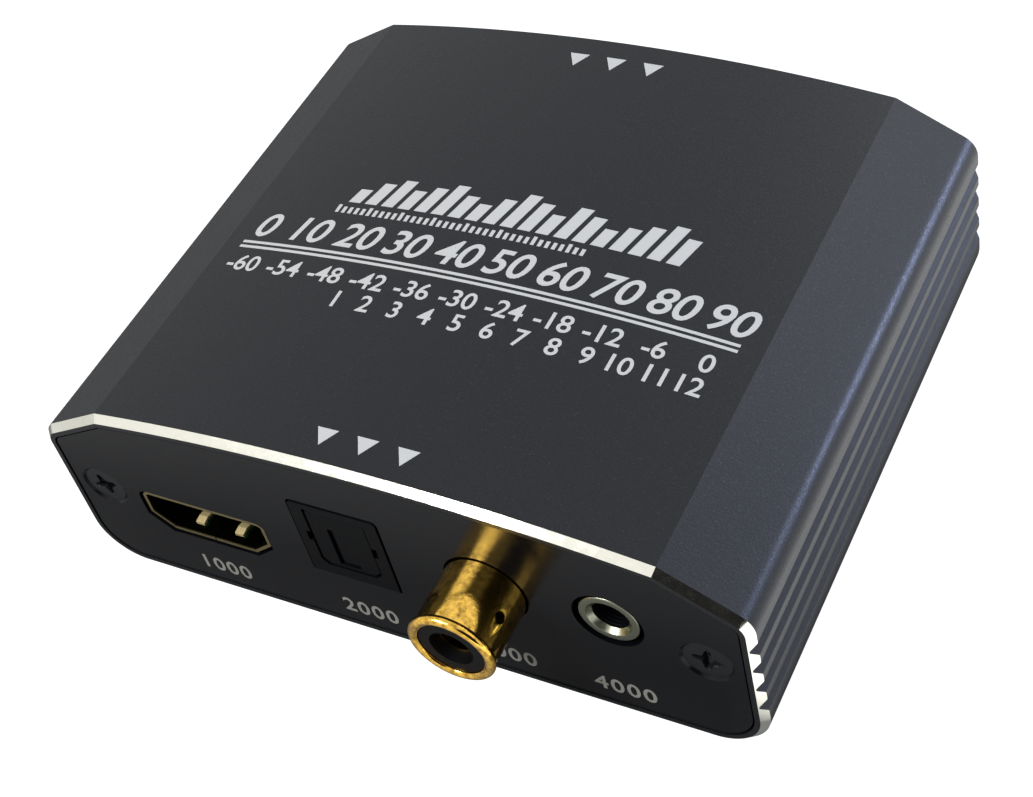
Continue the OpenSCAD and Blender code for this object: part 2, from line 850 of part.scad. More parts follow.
// Turned section of the barrel: radius across, depth behind the end of the body upwards
module barrel_section() {
    bead_r = coax_lip_bead;
    lip_y = -coax_out + bead_r;
    translate([coax_in_r, lip_y]) square([coax_sheet, coax_out - bead_r + coax_flange_y]);
    translate([coax_in_r, -coax_out + bead_r / 2]) square([coax_lip_r - bead_r - coax_in_r, bead_r]);
    translate([coax_lip_r - bead_r, lip_y]) circle(r = bead_r);
    translate([coax_in_r, coax_flange_y])
        square([coax_flange_r - coax_in_r, coax_flange_t]);
}

module coax_barrel() {
    color("#d9a62a") {
        coax_axis() difference() {
            rotate_extrude() barrel_section();
            for (i = [0 : coax_hole_n - 1])
                translate([0, 0, -coax_hole_y]) rotate([0, 0, -coax_hole_a - i * 360 / coax_hole_n])
                    rotate([0, 90, 0]) cylinder(h = 2 * coax_r, r = coax_hole_r);
        }
        at_front(coax_x) translate([-coax_leg_w / 2, coax_flange_y, 0])
            cube([coax_leg_w, coax_flange_t, coax_z - coax_in_r - coax_sheet / 2]);
    }
}

module coax_insulator() {
    out_r = coax_in_r - snug;
    seat_r = coax_contact_r + snug;
    face_y = -coax_out + coax_face_set;
    base_y = coax_flange_y + coax_flange_t;
    color("#1a1b20") coax_axis() rotate_extrude() polygon([
        [coax_mouth_r, face_y], [out_r, face_y], [out_r, base_y + coax_base_wall],
        [coax_rod_r + snug, base_y + coax_base_wall], [coax_rod_r + snug, coax_tube_end + snug],
        [seat_r, coax_tube_end + snug], [seat_r, -coax_out + coax_contact_set]
    ]);
}

module coax_contact() {
    tube_y = -coax_out + coax_contact_set;
    rod_end = coax_flange_y + coax_base_len - coax_leg_w;
    color("#c9a24a") {
        coax_axis() difference() {
            union() {
                translate([0, 0, tube_y]) cylinder(h = coax_tube_end - tube_y, r = coax_contact_r);
                cylinder(h = rod_end, r = coax_rod_r);
            }
            translate([0, 0, tube_y - over])
                cylinder(h = coax_tube_end - tube_y + over - coax_contact_wall, d = coax_bore);
        }
        at_front(coax_x) translate([-coax_rod_r, rod_end - coax_rod_r, 0])
            cube([2 * coax_rod_r, coax_rod_r, coax_z]);
    }
}

module coax_base() {
    y0 = coax_flange_y + coax_flange_t;
    top = coax_z + coax_flange_r;
    color("#17181a") at_front(coax_x) difference() {
        translate([-coax_base_w / 2, y0, 0]) cube([coax_base_w, coax_base_len, top]);
        translate([-coax_base_w / 2 + coax_base_wall, y0 + coax_base_wall, -over])
            cube([coax_base_w - 2 * coax_base_wall, coax_base_len - 2 * coax_base_wall,
                top - coax_base_wall + over]);
        translate([0, y0 - over, coax_z]) rotate([-90, 0, 0])
            cylinder(h = coax_base_wall + 2 * over, r = coax_in_r);
    }
}

// Stereo socket

module stereo_axis() { at_front(stereo_x) translate([0, 0, stereo_z]) rotate([-90, 0, 0]) children(); }

module stereo_ring() {
    bore_r = stereo_bore / 2;
    end_y = stereo_set + stereo_ring_len;
    color("#a8aa98") stereo_axis() rotate_extrude() polygon([
        [bore_r + stereo_mouth, stereo_set], [stereo_r - stereo_mouth / 2, stereo_set],
        [stereo_r, stereo_set + stereo_mouth / 2], [stereo_r, end_y], [bore_r, end_y],
        [bore_r, stereo_set + stereo_mouth]
    ]);
}

module stereo_body() {
    ring_end = stereo_set + stereo_ring_len;
    color("#151618") at_front(stereo_x) difference() {
        translate([-stereo_body_w / 2, body_y, 0])
            cube([stereo_body_w, stereo_len, stereo_z + stereo_body_top]);
        translate([0, 0, stereo_z]) rotate([-90, 0, 0]) {
            cylinder(h = ring_end + snug, r = stereo_r + snug);
            cylinder(h = body_y + stereo_len - stereo_mouth, d = stereo_bore);
        }
        stereo_leaves(snug);
    }
}

// Spring contacts beside the bore, grown by a margin where they cut their own slots
module stereo_leaves(grow) {
    first_y = stereo_set + stereo_ring_len + stereo_leaf_w / 2;
    for (i = [0 : stereo_leaf_n - 1]) {
        side = i % 2 == 0 ? 1 : -1;
        x = side * (stereo_bore + stereo_leaf_t) / 2;
        translate([x - stereo_leaf_t / 2 - grow, first_y + i * stereo_leaf_pitch - grow, -grow])
            cube([stereo_leaf_t + 2 * grow, stereo_leaf_w + 2 * grow, stereo_z + stereo_leaf_w + 2 * grow]);
    }
}

module stereo_contacts() { color("#c9a24a") at_front(stereo_x) stereo_leaves(0); }

// Power socket

module power_jack_body() {
    bore_end = power_face_set + power_bore_len;
    color("#151618") at_rear(power_x) difference() {
        union() {
            translate([0, power_face_set, power_z]) rotate([-90, 0, 0])
                cylinder(h = body_y, r = power_r);
            translate([-power_body_w / 2, body_y, 0])
                cube([power_body_w, power_len - body_y, power_z + power_body_top]);
        }
        translate([0, -over, power_z]) rotate([-90, 0, 0]) {
            cylinder(h = bore_end + over, d = power_bore);
            cylinder(h = power_len + 2 * over, r = power_pin_d / 2 + snug);
        }
        power_leaf(snug);
    }
}

module power_jack_pin() {
    color("#c8c9c4") at_rear(power_x) translate([0, 0, power_z]) rotate([-90, 0, 0]) {
        translate([0, 0, power_pin_set]) cylinder(h = power_len - power_pin_set, d = power_pin_d);
        translate([0, 0, power_len]) cylinder(h = power_leaf_t, r = power_pin_d);
    }
    color("#c8c9c4") at_rear(power_x)
        translate([-power_pin_d / 2, power_len, 0]) cube([power_pin_d, power_leaf_t, power_z]);
}

// Spring under the bore, grown by a margin where it cuts its own slot
module power_leaf(grow) {
    translate([-power_leaf_w / 2 - grow, power_leaf_y - grow, -grow])
        cube([power_leaf_w + 2 * grow, power_leaf_t + 2 * grow, power_z - power_bore / 2 + 2 * grow]);
}

module power_jack_spring() { color("#c8c9c4") at_rear(power_x) power_leaf(0); }

// Mode switch

module mode_switch_frame() {
    back = switch_len - switch_base_t - snug;
    color("#b4b6b2") at_rear(switch_x) difference() {
        translate([-switch_w / 2, body_y, 0]) cube([switch_w, back, switch_h]);
        translate([-switch_w / 2 + switch_sheet, body_y + switch_sheet, switch_sheet])
            cube([switch_w - 2 * switch_sheet, switch_len, switch_h - 2 * switch_sheet]);
        translate([-knob_slot_w / 2, body_y - over, (switch_h - knob_slot_h) / 2])
            cube([knob_slot_w, switch_sheet + 2 * over, knob_slot_h]);
    }
}

module mode_switch_base() {
    color("#6b4a2a") at_rear(switch_x)
        translate([-switch_w / 2, body_y + switch_len - switch_base_t, 0])
            cube([switch_w, switch_base_t, switch_h]);
}

// Knob and slider in one piece, with grip steps on the end
module mode_switch_knob() {
    foot_y = body_y + switch_sheet + switch_gap;
    color("#1a1b1d") at_rear(switch_x) difference() {
        union() {
            translate([-knob_w / 2, -knob_out, (switch_h - knob_h) / 2])
                cube([knob_w, knob_out + foot_y + knob_foot_t / 2, knob_h]);
            translate([-knob_foot_w / 2, foot_y, (switch_h - knob_foot_h) / 2])
                cube([knob_foot_w, knob_foot_t, knob_foot_h]);
        }
        for (i = [-1, 0, 1])
            translate([i * knob_w / 4 - knob_step / 2, -knob_out - over, 0])
                cube([knob_step, over + knob_step, switch_h]);
    }
}

module mode_switch_pins() {
    color("#c8c9c4") at_rear(switch_x)
        for (i = [0 : switch_pin_n - 1])
            translate([(i - (switch_pin_n - 1) / 2) * switch_pin_pitch - switch_pin_w / 2,
                    body_y + switch_len, 0])
                cube([switch_pin_w, switch_pin_w / 2, switch_h / 2]);
}

// Power light

module power_light() {
    color("#b81e24") at_rear(light_x) translate([0, 0, light_z]) rotate([-90, 0, 0]) {
        translate([0, 0, light_r - light_out]) sphere(r = light_r);
        translate([0, 0, light_r - light_out]) cylinder(h = light_len - light_r, r = light_r);
        translate([0, 0, light_len - light_out - 2 * light_collar])
            cylinder(h = 2 * light_collar, r = light_r + light_collar);
    }
}

module power_light_leads() {
    y0 = light_len - light_out;
    color("#c8c9c4") at_rear(light_x)
        for (side = [-1, 1])
            translate([side * light_lead_span / 2 - light_lead_w / 2, 0, 0]) {
                translate([0, y0, light_z - light_lead_w / 2])
                    cube([light_lead_w, light_lead_run, light_lead_w]);
                translate([0, y0 + light_lead_run - light_lead_w, 0])
                    cube([light_lead_w, light_lead_w, light_z]);
            }
}

// Parts on the board

// Moves a part to its place in one of the columns
module on_board(column, n) {
    translate([row_x(column, column_widths, column_shares), stack_y(n, column_parts[column]), board_z])
        children();
}

module converter_chip() {
    color("#1c1d1f") on_board(2, 0) translate([-chip_w / 2, -chip_w / 2, 0])
        cube([chip_w, chip_w, chip_h]);
}

module thermal_pad() {
    color("#8d96a3") on_board(2, 0) translate([-chip_w / 2, -chip_w / 2, chip_h])
        cube([chip_w, chip_w, pad_t]);
}

module heat_sink() {
    step = (chip_w - sink_fin_t) / (sink_fins - 1);
    color("#6f737a") on_board(2, 0) translate([-chip_w / 2, -chip_w / 2, chip_h + pad_t]) {
        cube([chip_w, chip_w, sink_base]);
        for (i = [0 : sink_fins - 1]) translate([i * step, 0, 0]) cube([sink_fin_t, chip_w, sink_h]);
    }
}

// Small chip with gull-wing leads on two sides
module soic(leads) {
    len = leads * soic_step;
    foot_x = soic_w / 2 + soic_lead;
    translate([-soic_w / 2, -len / 2, soic_lead_t]) cube([soic_w, len, soic_h]);
    for (m = [0, 1]) mirror([m, 0, 0])
        for (i = [0 : leads - 1])
            translate([0, (i - (leads - 1) / 2) * soic_step + soic_lead_w / 2, 0])
                rotate([90, 0, 0]) linear_extrude(height = soic_lead_w) polygon([
                    [0, soic_h / 2], [foot_x - soic_lead / 2, soic_h / 2],
                    [foot_x - soic_lead / 2, soic_lead_t], [foot_x, soic_lead_t], [foot_x, 0],
                    [foot_x - soic_lead / 2 - soic_lead_t, 0],
                    [foot_x - soic_lead / 2 - soic_lead_t, soic_h / 2 - soic_lead_t],
                    [0, soic_h / 2 - soic_lead_t]
                ]);
}

module audio_chip() { color("#1c1d1f") on_board(3, 0) soic(audio_leads); }
module memory_chip() { color("#1c1d1f") on_board(1, 0) soic(memory_leads); }

module voltage_regulators() {
    color("#1c1d1f") for (n = [0, 1]) on_board(0, n) {
        translate([-regulator_w / 2, -regulator_d / 2, 0]) cube([regulator_w, regulator_d, soic_h]);
        translate([-regulator_tab_w / 2, 0, 0])
            cube([regulator_tab_w, regulator_d / 2 + soic_lead, soic_lead_t]);
        for (i = [-1, 0, 1]) translate([i * regulator_step - regulator_lead_w / 2, 0, 0])
            mirror([0, 1, 0]) cube([regulator_lead_w, regulator_d / 2 + soic_lead, soic_lead_t]);
    }
}

// Upright square with round corners
module round_square(w, r, h) {
    translate([-w / 2 + r, -w / 2, 0]) cube([w - 2 * r, w, h]);
    translate([-w / 2, -w / 2 + r, 0]) cube([w, w - 2 * r, h]);
    for (x = [-1, 1], y = [-1, 1])
        translate([x * (w / 2 - r), y * (w / 2 - r), 0]) cylinder(h = h, r = r);
}

module power_coil() {
    color("#4a4c50") on_board(3, 1) difference() {
        round_square(coil_w, coil_r, coil_h);
        translate([0, 0, coil_h - coil_rim]) difference() {
            cylinder(h = coil_rim + over, r = coil_w / 2 - coil_rim);
            cylinder(h = coil_rim + over, r = coil_w / 2 - 2 * coil_rim);
        }
    }
}

// Oval can on a wider foot
module oval(w, d, h) {
    translate([-(w - d) / 2, -d / 2, 0]) cube([w - d, d, h]);
    for (side = [-1, 1]) translate([side * (w - d) / 2, 0, 0]) cylinder(h = h, d = d);
}

module clock_crystal() {
    color("#c5c6c2") on_board(1, 1) rotate([0, 0, 90]) {
        oval(crystal_w, crystal_d, crystal_foot);
        oval(crystal_w - crystal_foot, crystal_d - crystal_foot, crystal_h);
    }
}

module storage_capacitors() {
    color("#c9cacc") for (n = [0 : can_n - 1]) on_board(4, n) {
        round_square(can_foot_w, coil_rim, can_base_h);
        cylinder(h = can_h, d = can_d);
    }
}

housing();
front_panel();
rear_panel();
front_screws();
rear_screws();
circuit_board();
video_out_shell();
video_out_insulator();
video_out_contacts();
video_in_shell();
video_in_insulator();
video_in_contacts();
optical_body();
optical_shutter();
optical_emitter();
coax_barrel();
coax_insulator();
coax_contact();
coax_base();
stereo_ring();
stereo_body();
stereo_contacts();
power_jack_body();
power_jack_pin();
power_jack_spring();
mode_switch_frame();
mode_switch_base();
mode_switch_knob();
mode_switch_pins();
power_light();
power_light_leads();
converter_chip();
thermal_pad();
heat_sink();
audio_chip();
memory_chip();
voltage_regulators();
power_coil();
clock_crystal();
storage_capacitors();
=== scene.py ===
# %% [markdown]
# A small converter box with a bead-blasted, anodised aluminium body. The construction comes from the
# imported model, which is loaded first and never moved. Everything below gives its pieces their finish,
# and adds what a solid model leaves out: printed marks, port numbers and finely rounded metal parts.

import math

import bmesh
import bpy
import numpy as np
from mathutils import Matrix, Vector
from mathutils.geometry import tessellate_polygon


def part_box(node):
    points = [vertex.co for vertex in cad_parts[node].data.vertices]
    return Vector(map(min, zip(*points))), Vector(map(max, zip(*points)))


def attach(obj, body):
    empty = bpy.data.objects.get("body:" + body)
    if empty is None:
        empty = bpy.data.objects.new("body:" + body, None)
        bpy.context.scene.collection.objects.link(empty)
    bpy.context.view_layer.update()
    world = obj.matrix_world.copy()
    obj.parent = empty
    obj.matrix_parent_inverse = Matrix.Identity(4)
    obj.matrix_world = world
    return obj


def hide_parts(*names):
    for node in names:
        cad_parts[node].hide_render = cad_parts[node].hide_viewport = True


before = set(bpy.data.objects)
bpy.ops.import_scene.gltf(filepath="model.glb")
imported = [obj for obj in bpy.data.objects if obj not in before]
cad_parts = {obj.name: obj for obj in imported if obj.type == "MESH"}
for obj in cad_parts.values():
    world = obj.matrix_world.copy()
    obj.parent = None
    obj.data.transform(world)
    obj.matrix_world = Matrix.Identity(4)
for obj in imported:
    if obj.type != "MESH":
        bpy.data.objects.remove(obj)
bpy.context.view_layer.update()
print("pieces in the model:", len(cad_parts))

# %% [markdown]
# All sizes here are written in millimetres, because that is how such a box is drawn. One factor turns
# them into Blender's metres. The planes of the two end faces are worked out from the housing itself.

# %% Units and the planes of the box
MM = 0.001


def box_mm(node):
    """Lowest and highest corner of a piece, in millimetres."""
    low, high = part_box(node)
    return np.array(low) / MM, np.array(high) / MM


house_low, house_high = box_mm("housing")
HALF_W = house_high[0]
BODY_H = house_high[2]
FRONT_Y = house_low[1]
REAR_Y = house_high[1]
BOARD_Z = box_mm("circuit_board")[1][2]
print("housing:", (house_high - house_low).round(2), "board top:", round(BOARD_Z, 2))

# %% [markdown]
# Colours are written as the hex values that a screen shows. Shaders work in linear light, so one
# function turns a hex value into linear red, green and blue. A second function adds one shader node
# with its settings and its links, which keeps each material short enough to read.

# %% Colours and nodes


def linear(hex_colour):
    """sRGB hex to linear RGBA: each channel goes through the sRGB curve."""
    channels = [int(hex_colour[i:i + 2], 16) / 255 for i in (1, 3, 5)]
    return [c / 12.92 if c <= 0.04045 else ((c + 0.055) / 1.055) ** 2.4 for c in channels] + [1.0]


def add(tree, kind, settings=None, **inputs):
    """Add a node. An input goes by its name, with _ for a space, or by its number, as in i0. It takes a
    constant, or a (node, output) pair that is linked to it."""
    node = tree.nodes.new("ShaderNode" + kind)
    for name, value in (settings or {}).items():
        setattr(node, name, value)
    for name, value in inputs.items():
        socket = node.inputs[int(name[1:])] if name[1:].isdigit() else node.inputs[name.replace("_", " ")]
        if isinstance(value, tuple) and isinstance(value[0], bpy.types.Node):
            tree.links.new(value[0].outputs[value[1]], socket)
        else:
            socket.default_value = value
    return node


def new_material(name, hex_colour, roughness, metallic=0.0, **more):
    """A Principled material with its constants on the shader's own sockets."""
    material = bpy.data.materials.new(name)
    material.use_nodes = True
    material.diffuse_color = linear(hex_colour)
    shader = material.node_tree.nodes["Principled BSDF"]
    shader.inputs["Base Color"].default_value = linear(hex_colour)
    shader.inputs["Metallic"].default_value = metallic
    shader.inputs["Roughness"].default_value = roughness
    for socket, value in more.items():
        shader.inputs[socket.replace("_", " ")].default_value = value
    return material, material.node_tree, shader


print("mid grey #808080 is", round(linear("#808080")[0], 3), "in linear light")

# %% [markdown]
# Hardly any real surface is even. A photographed texture could show that, but it needs an unwrapped
# mesh and blurs close up. So most finishes here share one recipe: a noise of a known size wanders
# through the material and moves its colour between two tones, its gloss between two values of
# roughness, and its surface up and down by a few hundredths of a millimetre at most.

# %% An uneven surface
UNEVEN_FROM, UNEVEN_TO = 0.3, 0.7


def grain(tree, per_mm, detail=3.0, roughness=0.6, stretch=(1, 1, 1)):
    """Noise on Object coordinates whose cells are about 1 / per_mm millimetres wide. More detail adds
    finer octaves, and roughness says how much each of them counts."""
    place = add(tree, "TexCoord")
    turn = add(tree, "Mapping", Vector=(place, "Object"), Scale=stretch)
    return add(tree, "TexNoise", Vector=(turn, "Vector"), Scale=per_mm / MM, Detail=detail,
               Roughness=roughness)


def two_tone(tree, shader, factor, first, second):
    """Colour that is the first hex value where the factor is 0, and the second where it is 1."""
    tones = add(tree, "Mix", {"data_type": "RGBA"}, Factor=factor, i6=linear(first), i7=linear(second))
    tree.links.new(tones.outputs[2], shader.inputs["Base Color"])


def uneven_gloss(tree, shader, pattern, low, high):
    """Roughness from low to high, while a noise goes over the middle part of its range."""
    gloss = add(tree, "MapRange", Value=(pattern, "Fac"), From_Min=UNEVEN_FROM, From_Max=UNEVEN_TO,
                To_Min=low, To_Max=high)
    tree.links.new(gloss.outputs[0], shader.inputs["Roughness"])


def relief(tree, shader, pattern, height_mm, strength=1.0):
    """Fine relief of a real height on the shader's normal."""
    bump = add(tree, "Bump", Height=(pattern, "Fac"), Distance=height_mm * MM, Strength=strength)
    tree.links.new(bump.outputs["Normal"], shader.inputs["Normal"])


print("noise used for gloss:", UNEVEN_FROM, "to", UNEVEN_TO)

# %% [markdown]
# The body is extruded aluminium that was bead-blasted and then anodised dark grey. Blasting leaves
# dents of about a tenth of a millimetre, which give a soft sheen. The tiny sparks in it are painted
# glints: a second, sharper noise lightens the colour in single spots, since a rough metal without them
# would look like paint. The dents are drawn twice as large here, because finer ones would vanish
# between the pixels. After anodising, both ends were cut again with a diamond tool at 45 degrees,
# which bares bright metal with a mirror sheen.

# %% Blasted, anodised body and its diamond-cut ends
DENTS_PER_MM = 5.0
SPARKS_PER_MM = 7.0
SPARK_FROM, SPARK_FULL = 0.66, 0.86


def anodised_blasted_aluminium():
    """Dark oxide over blasted metal: a wide soft sheen, with a few painted glints in the colour."""
    material, tree, shader = new_material(
        "anodised_blasted_aluminium", "#26282b", metallic=0.75, roughness=0.46)
    # Painted glints: the colour turns lighter where a fine noise peaks, in place of sparks of light on the
    # grains.
    sparks = grain(tree, SPARKS_PER_MM, detail=0.0)
    painted_glint = add(tree, "MapRange", Value=(sparks, "Fac"), From_Min=SPARK_FROM, From_Max=SPARK_FULL)
    two_tone(tree, shader, (painted_glint, 0), "#25272a", "#35383d")
    dents = grain(tree, DENTS_PER_MM)
    uneven_gloss(tree, shader, dents, low=0.3, high=0.46)
    relief(tree, shader, dents, height_mm=0.02)
    return material


def diamond_cut_aluminium():
    """Bare metal from a diamond tool: nearly white, with a faint cloudy gloss along the cut."""
    material, tree, shader = new_material("diamond_cut_aluminium", "#efeee2", metallic=1.0, roughness=0.12)
    cloud = grain(tree, per_mm=1.6, detail=4.0)
    two_tone(tree, shader, (cloud, "Fac"), "#f2f1e6", "#e2e0d2")
    uneven_gloss(tree, shader, cloud, low=0.08, high=0.17)
    return material


BODY_METAL = anodised_blasted_aluminium()
CUT_METAL = diamond_cut_aluminium()
print("dents of", 1 / DENTS_PER_MM, "mm on the body")

# %% [markdown]
# The end panels are thin rolled plate, dyed almost black and sealed. They weren't blasted, so they stay
# smooth and show a soft mirror image of the barrel. As full metal they would be black mirrors, and as
# paint they would show no barrel, so the finish lies in between. The screws are steel, blackened in a
# hot salt bath.

# %% Panels and screws
HAZE_PER_MM = 0.6
PLATE_GRAIN_PER_MM = 9.0


def anodised_satin_plate():
    """Rolled plate, dyed near black and sealed: smooth enough to mirror the gold barrel softly."""
    material, tree, shader = new_material(
        "anodised_satin_plate", "#0c0e12", metallic=0.3, roughness=0.2, Specular_IOR_Level=0.22)
    uneven_gloss(tree, shader, grain(tree, HAZE_PER_MM), low=0.17, high=0.24)
    relief(tree, shader, grain(tree, PLATE_GRAIN_PER_MM, detail=2.0), height_mm=0.003, strength=0.6)
    return material


def oxide_black_steel():
    """Steel blackened in a salt bath: dark, with a dull satin sheen."""
    material, tree, shader = new_material(
        "oxide_black_steel", "#1d1f21", metallic=0.5, roughness=0.35, Specular_IOR_Level=0.4)
    uneven_gloss(tree, shader, grain(tree, per_mm=3.0), low=0.28, high=0.42)
    return material


PANEL = anodised_satin_plate()
BLACK_STEEL = oxide_black_steel()
print("haze on the panels is", round(1 / HAZE_PER_MM, 1), "mm wide")

# %% [markdown]
# The barrel is turned brass with a thin layer of gold. Such a layer goes on unevenly, so its colour is
# mottled from bright gold to a browner tone in spots of about 0.7 mm. Two noises could drive colour and
# gloss, but both come from the same thin spots, so one noise moves them together. The ring of the
# stereo socket is plated with nickel, which looks warmer and greyer than steel.

# %% Gold and nickel plating
SPOTS_PER_MM = 1.4
SPOT_FROM, SPOT_FULL = 0.42, 0.72


def gold_flash_plate():
    """A thin polished gold layer on turned brass: mirror-like, with the mottling of thin plating."""
    material, tree, shader = new_material("gold_flash_plate", "#b8903f", metallic=1.0, roughness=0.14)
    cloud = grain(tree, SPOTS_PER_MM, detail=4.0, roughness=0.65)
    spots = add(tree, "MapRange", Value=(cloud, "Fac"), From_Min=SPOT_FROM, From_Max=SPOT_FULL)
    two_tone(tree, shader, (spots, 0), "#fccb5c", "#86652c")
    uneven_gloss(tree, shader, cloud, low=0.06, high=0.13)
    relief(tree, shader, grain(tree, per_mm=3.5), height_mm=0.008, strength=0.7)
    return material


def nickel_plate():
    """Turned and nickel plated: warm grey-green, with a slightly clouded gloss."""
    material, tree, shader = new_material("nickel_plate", "#8a8c7b", metallic=1.0, roughness=0.3)
    cloud = grain(tree, per_mm=2.5)
    two_tone(tree, shader, (cloud, "Fac"), "#949684", "#7e8171")
    uneven_gloss(tree, shader, cloud, low=0.24, high=0.36)
    return material


GOLD = gold_flash_plate()
NICKEL = nickel_plate()
print("spots in the gold are", round(1 / SPOTS_PER_MM, 1), "mm wide")

# %% [markdown]
# Small frames and shells are stamped from thin steel sheet with tin or nickel on it. The rollers leave
# faint lines along the sheet. So its noise is squeezed to a ninth of its width across the lines, which
# draws it out into streaks of dull and less dull metal.

# %% Rolled and plated sheet
STREAKS_PER_MM, STREAK_SQUEEZE = 1.2, (9, 1, 9)


def rolled_sheet(name):
    """Rolled sheet without its colour: lines along its length give it a dull, streaky gloss."""
    material, tree, shader = new_material(name, "#a8a38c", metallic=1.0, roughness=0.3)
    lines = grain(tree, STREAKS_PER_MM, detail=4.0, stretch=STREAK_SQUEEZE)
    uneven_gloss(tree, shader, lines, low=0.24, high=0.42)
    relief(tree, shader, lines, height_mm=0.004, strength=0.5)
    return material, tree, shader, lines


def plated_sheet_steel():
    """Sheet with tin or nickel over it: dull silver."""
    material, tree, shader, lines = rolled_sheet("plated_sheet_steel")
    two_tone(tree, shader, (lines, "Fac"), "#b4ae96", "#9a957e")
    return material


SHEET = plated_sheet_steel()
print("streaks are", round(1 / STREAKS_PER_MM / STREAK_SQUEEZE[0], 2), "mm wide")

# %% [markdown]
# The shells of the video sockets carry painted light. Their lip keeps the colour of the sheet, the
# inside is darkened with painted shade, and the two spring fingers get a painted highlight: a light
# beige that is less metallic. Faces with a finish each would part along hard lines, so all this is one
# material: X tells how far a point is from the middle of a finger, and Y tells how deep it lies behind
# the lip. The rear socket faces the other way, so its depths are counted backwards.

# %% Shells with painted shade inside and painted highlights on the fingers
FINGER_X, FINGER_W, FINGER_EDGE = 2.4, 1.0, 0.1
LIP_SHIFT, LIP = 0.02, 0.15
FINGER_FROM, FINGER_FULL = 0.75, 0.9


def worn_sheet_steel(node, facing):
    """Sheet of one video shell, with painted shade inside and a painted highlight on both fingers.
    Distance from a finger = | |x - middle| - finger place |, and depth = (y - lip) x facing, where
    facing is 1 for the front end and -1 for the rear."""
    low, high = box_mm(node)
    lip_y = (low if facing > 0 else high)[1] + LIP_SHIFT * facing
    material, tree, shader = rolled_sheet("painted_light_sheet_" + node)[:3]
    place = add(tree, "SeparateXYZ", Vector=(add(tree, "TexCoord"), "Object"))
    middle = (low[0] + high[0]) / 2 * MM
    from_middle = add(tree, "Math", {"operation": "SUBTRACT"}, i0=(place, "X"), i1=middle)
    away = add(tree, "Math", {"operation": "ABSOLUTE"}, i0=(from_middle, 0))
    beside = add(tree, "Math", {"operation": "SUBTRACT"}, i0=(away, 0), i1=FINGER_X * MM)
    off = add(tree, "Math", {"operation": "ABSOLUTE"}, i0=(beside, 0))
    across_finger = add(tree, "MapRange", Value=(off, 0), From_Min=FINGER_W / 2 * MM,
                 From_Max=(FINGER_W / 2 + FINGER_EDGE) * MM, To_Min=1.0, To_Max=0.0)
    deep = add(tree, "Math", {"operation": "SUBTRACT"}, i0=(place, "Y"), i1=lip_y * MM)
    shade_inside = add(tree, "MapRange", Value=(deep, 0), From_Max=LIP * facing * MM)
    behind = add(tree, "MapRange", Value=(deep, 0), From_Min=FINGER_FROM * facing * MM,
                 From_Max=FINGER_FULL * facing * MM)
    finger = add(tree, "Math", {"operation": "MULTIPLY"}, i0=(across_finger, 0), i1=(behind, 0))
    # Painted shade: more than LIP behind the lip, the colour of the shell turns near black.
    lip_and_shade = add(tree, "Mix", {"data_type": "RGBA"}, Factor=(shade_inside, 0), i6=linear("#a3956a"),
                i7=linear("#17160f"))
    # Painted highlight: on the spring fingers the colour turns light beige and Metallic drops to 0.45.
    painted_highlight = add(tree, "Mix", {"data_type": "RGBA"}, Factor=(finger, 0), i6=(lip_and_shade, 2), i7=linear("#e3cf98"))
    highlight_metallic = add(tree, "MapRange", Value=(finger, 0), To_Min=1.0, To_Max=0.45)
    tree.links.new(painted_highlight.outputs[2], shader.inputs["Base Color"])
    tree.links.new(highlight_metallic.outputs[0], shader.inputs["Metallic"])
    return material


VIDEO_OUT_SHEET = worn_sheet_steel("video_out_shell", facing=1)
VIDEO_IN_SHEET = worn_sheet_steel("video_in_shell", facing=-1)
print("sheet finishes:", SHEET.name, VIDEO_OUT_SHEET.name, VIDEO_IN_SHEET.name)

# %% [markdown]
# The plastic parts come from a mould whose walls were eroded by sparks, which leaves a fine matt grain.
# As geometry it would take millions of faces, so it is relief in the material. The small lamp is cast
# from clear resin with a red dye, so light goes into it. The board is green because of the lacquer
# that keeps solder off, and its copper tracks show through as lighter lines.

# %% Plastics, lamp and board
MOULD_GRAIN_PER_MM = 7.0
TRACK_SPACING_MM = 6


def moulded_plastic(name, colour, low, high, specular=0.3):
    """Filled plastic from a fine spark-eroded mould: its roughness goes from low to high in a fine grain."""
    material, tree, shader = new_material(name, colour, roughness=high, Specular_IOR_Level=specular)
    grit = grain(tree, MOULD_GRAIN_PER_MM)
    uneven_gloss(tree, shader, grit, low, high)
    relief(tree, shader, grit, height_mm=0.01, strength=0.8)
    return material


def tinted_lens_resin():
    """Clear epoxy dyed red, as a small lamp is cast from: glossy, and light goes some way in."""
    material, tree, shader = new_material(
        "tinted_lens_resin", "#a3141c", roughness=0.12, IOR=1.54, Transmission_Weight=0.5)
    cloud = grain(tree, per_mm=0.8, detail=2.0, roughness=0.5)
    gloss = add(tree, "MapRange", Value=(cloud, "Fac"), To_Min=0.08, To_Max=0.18)
    tree.links.new(gloss.outputs[0], shader.inputs["Roughness"])
    return material


def solder_mask_board():
    """Glass-epoxy board under green lacquer: tracks show through it as slightly raised, lighter lines."""
    material, tree, shader = new_material("solder_mask_board", "#144029", roughness=0.32, IOR=1.5)
    place = add(tree, "TexCoord")
    tracks = add(tree, "TexBrick", {"offset": 0.35}, Vector=(place, "Object"),
                 Scale=1.0 / MM / TRACK_SPACING_MM, Mortar_Size=0.06, Color1=linear("#144029"),
                 Color2=linear("#123a25"), Mortar=linear("#2a6a44"))
    tree.links.new(tracks.outputs["Color"], shader.inputs["Base Color"])
    relief(tree, shader, tracks, height_mm=0.03, strength=0.5)
    return material


NYLON = moulded_plastic("moulded_black_nylon", "#060709", low=0.38, high=0.55, specular=0.08)
RESIN = moulded_plastic("filled_epoxy_resin", "#1a1b1d", low=0.5, high=0.65)
print("plastics:", NYLON.name, RESIN.name)

# %% [markdown]
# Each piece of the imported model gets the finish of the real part. The list goes by the role of the
# piece, so that every socket of one kind shares one finish. A piece that isn't listed is black nylon.

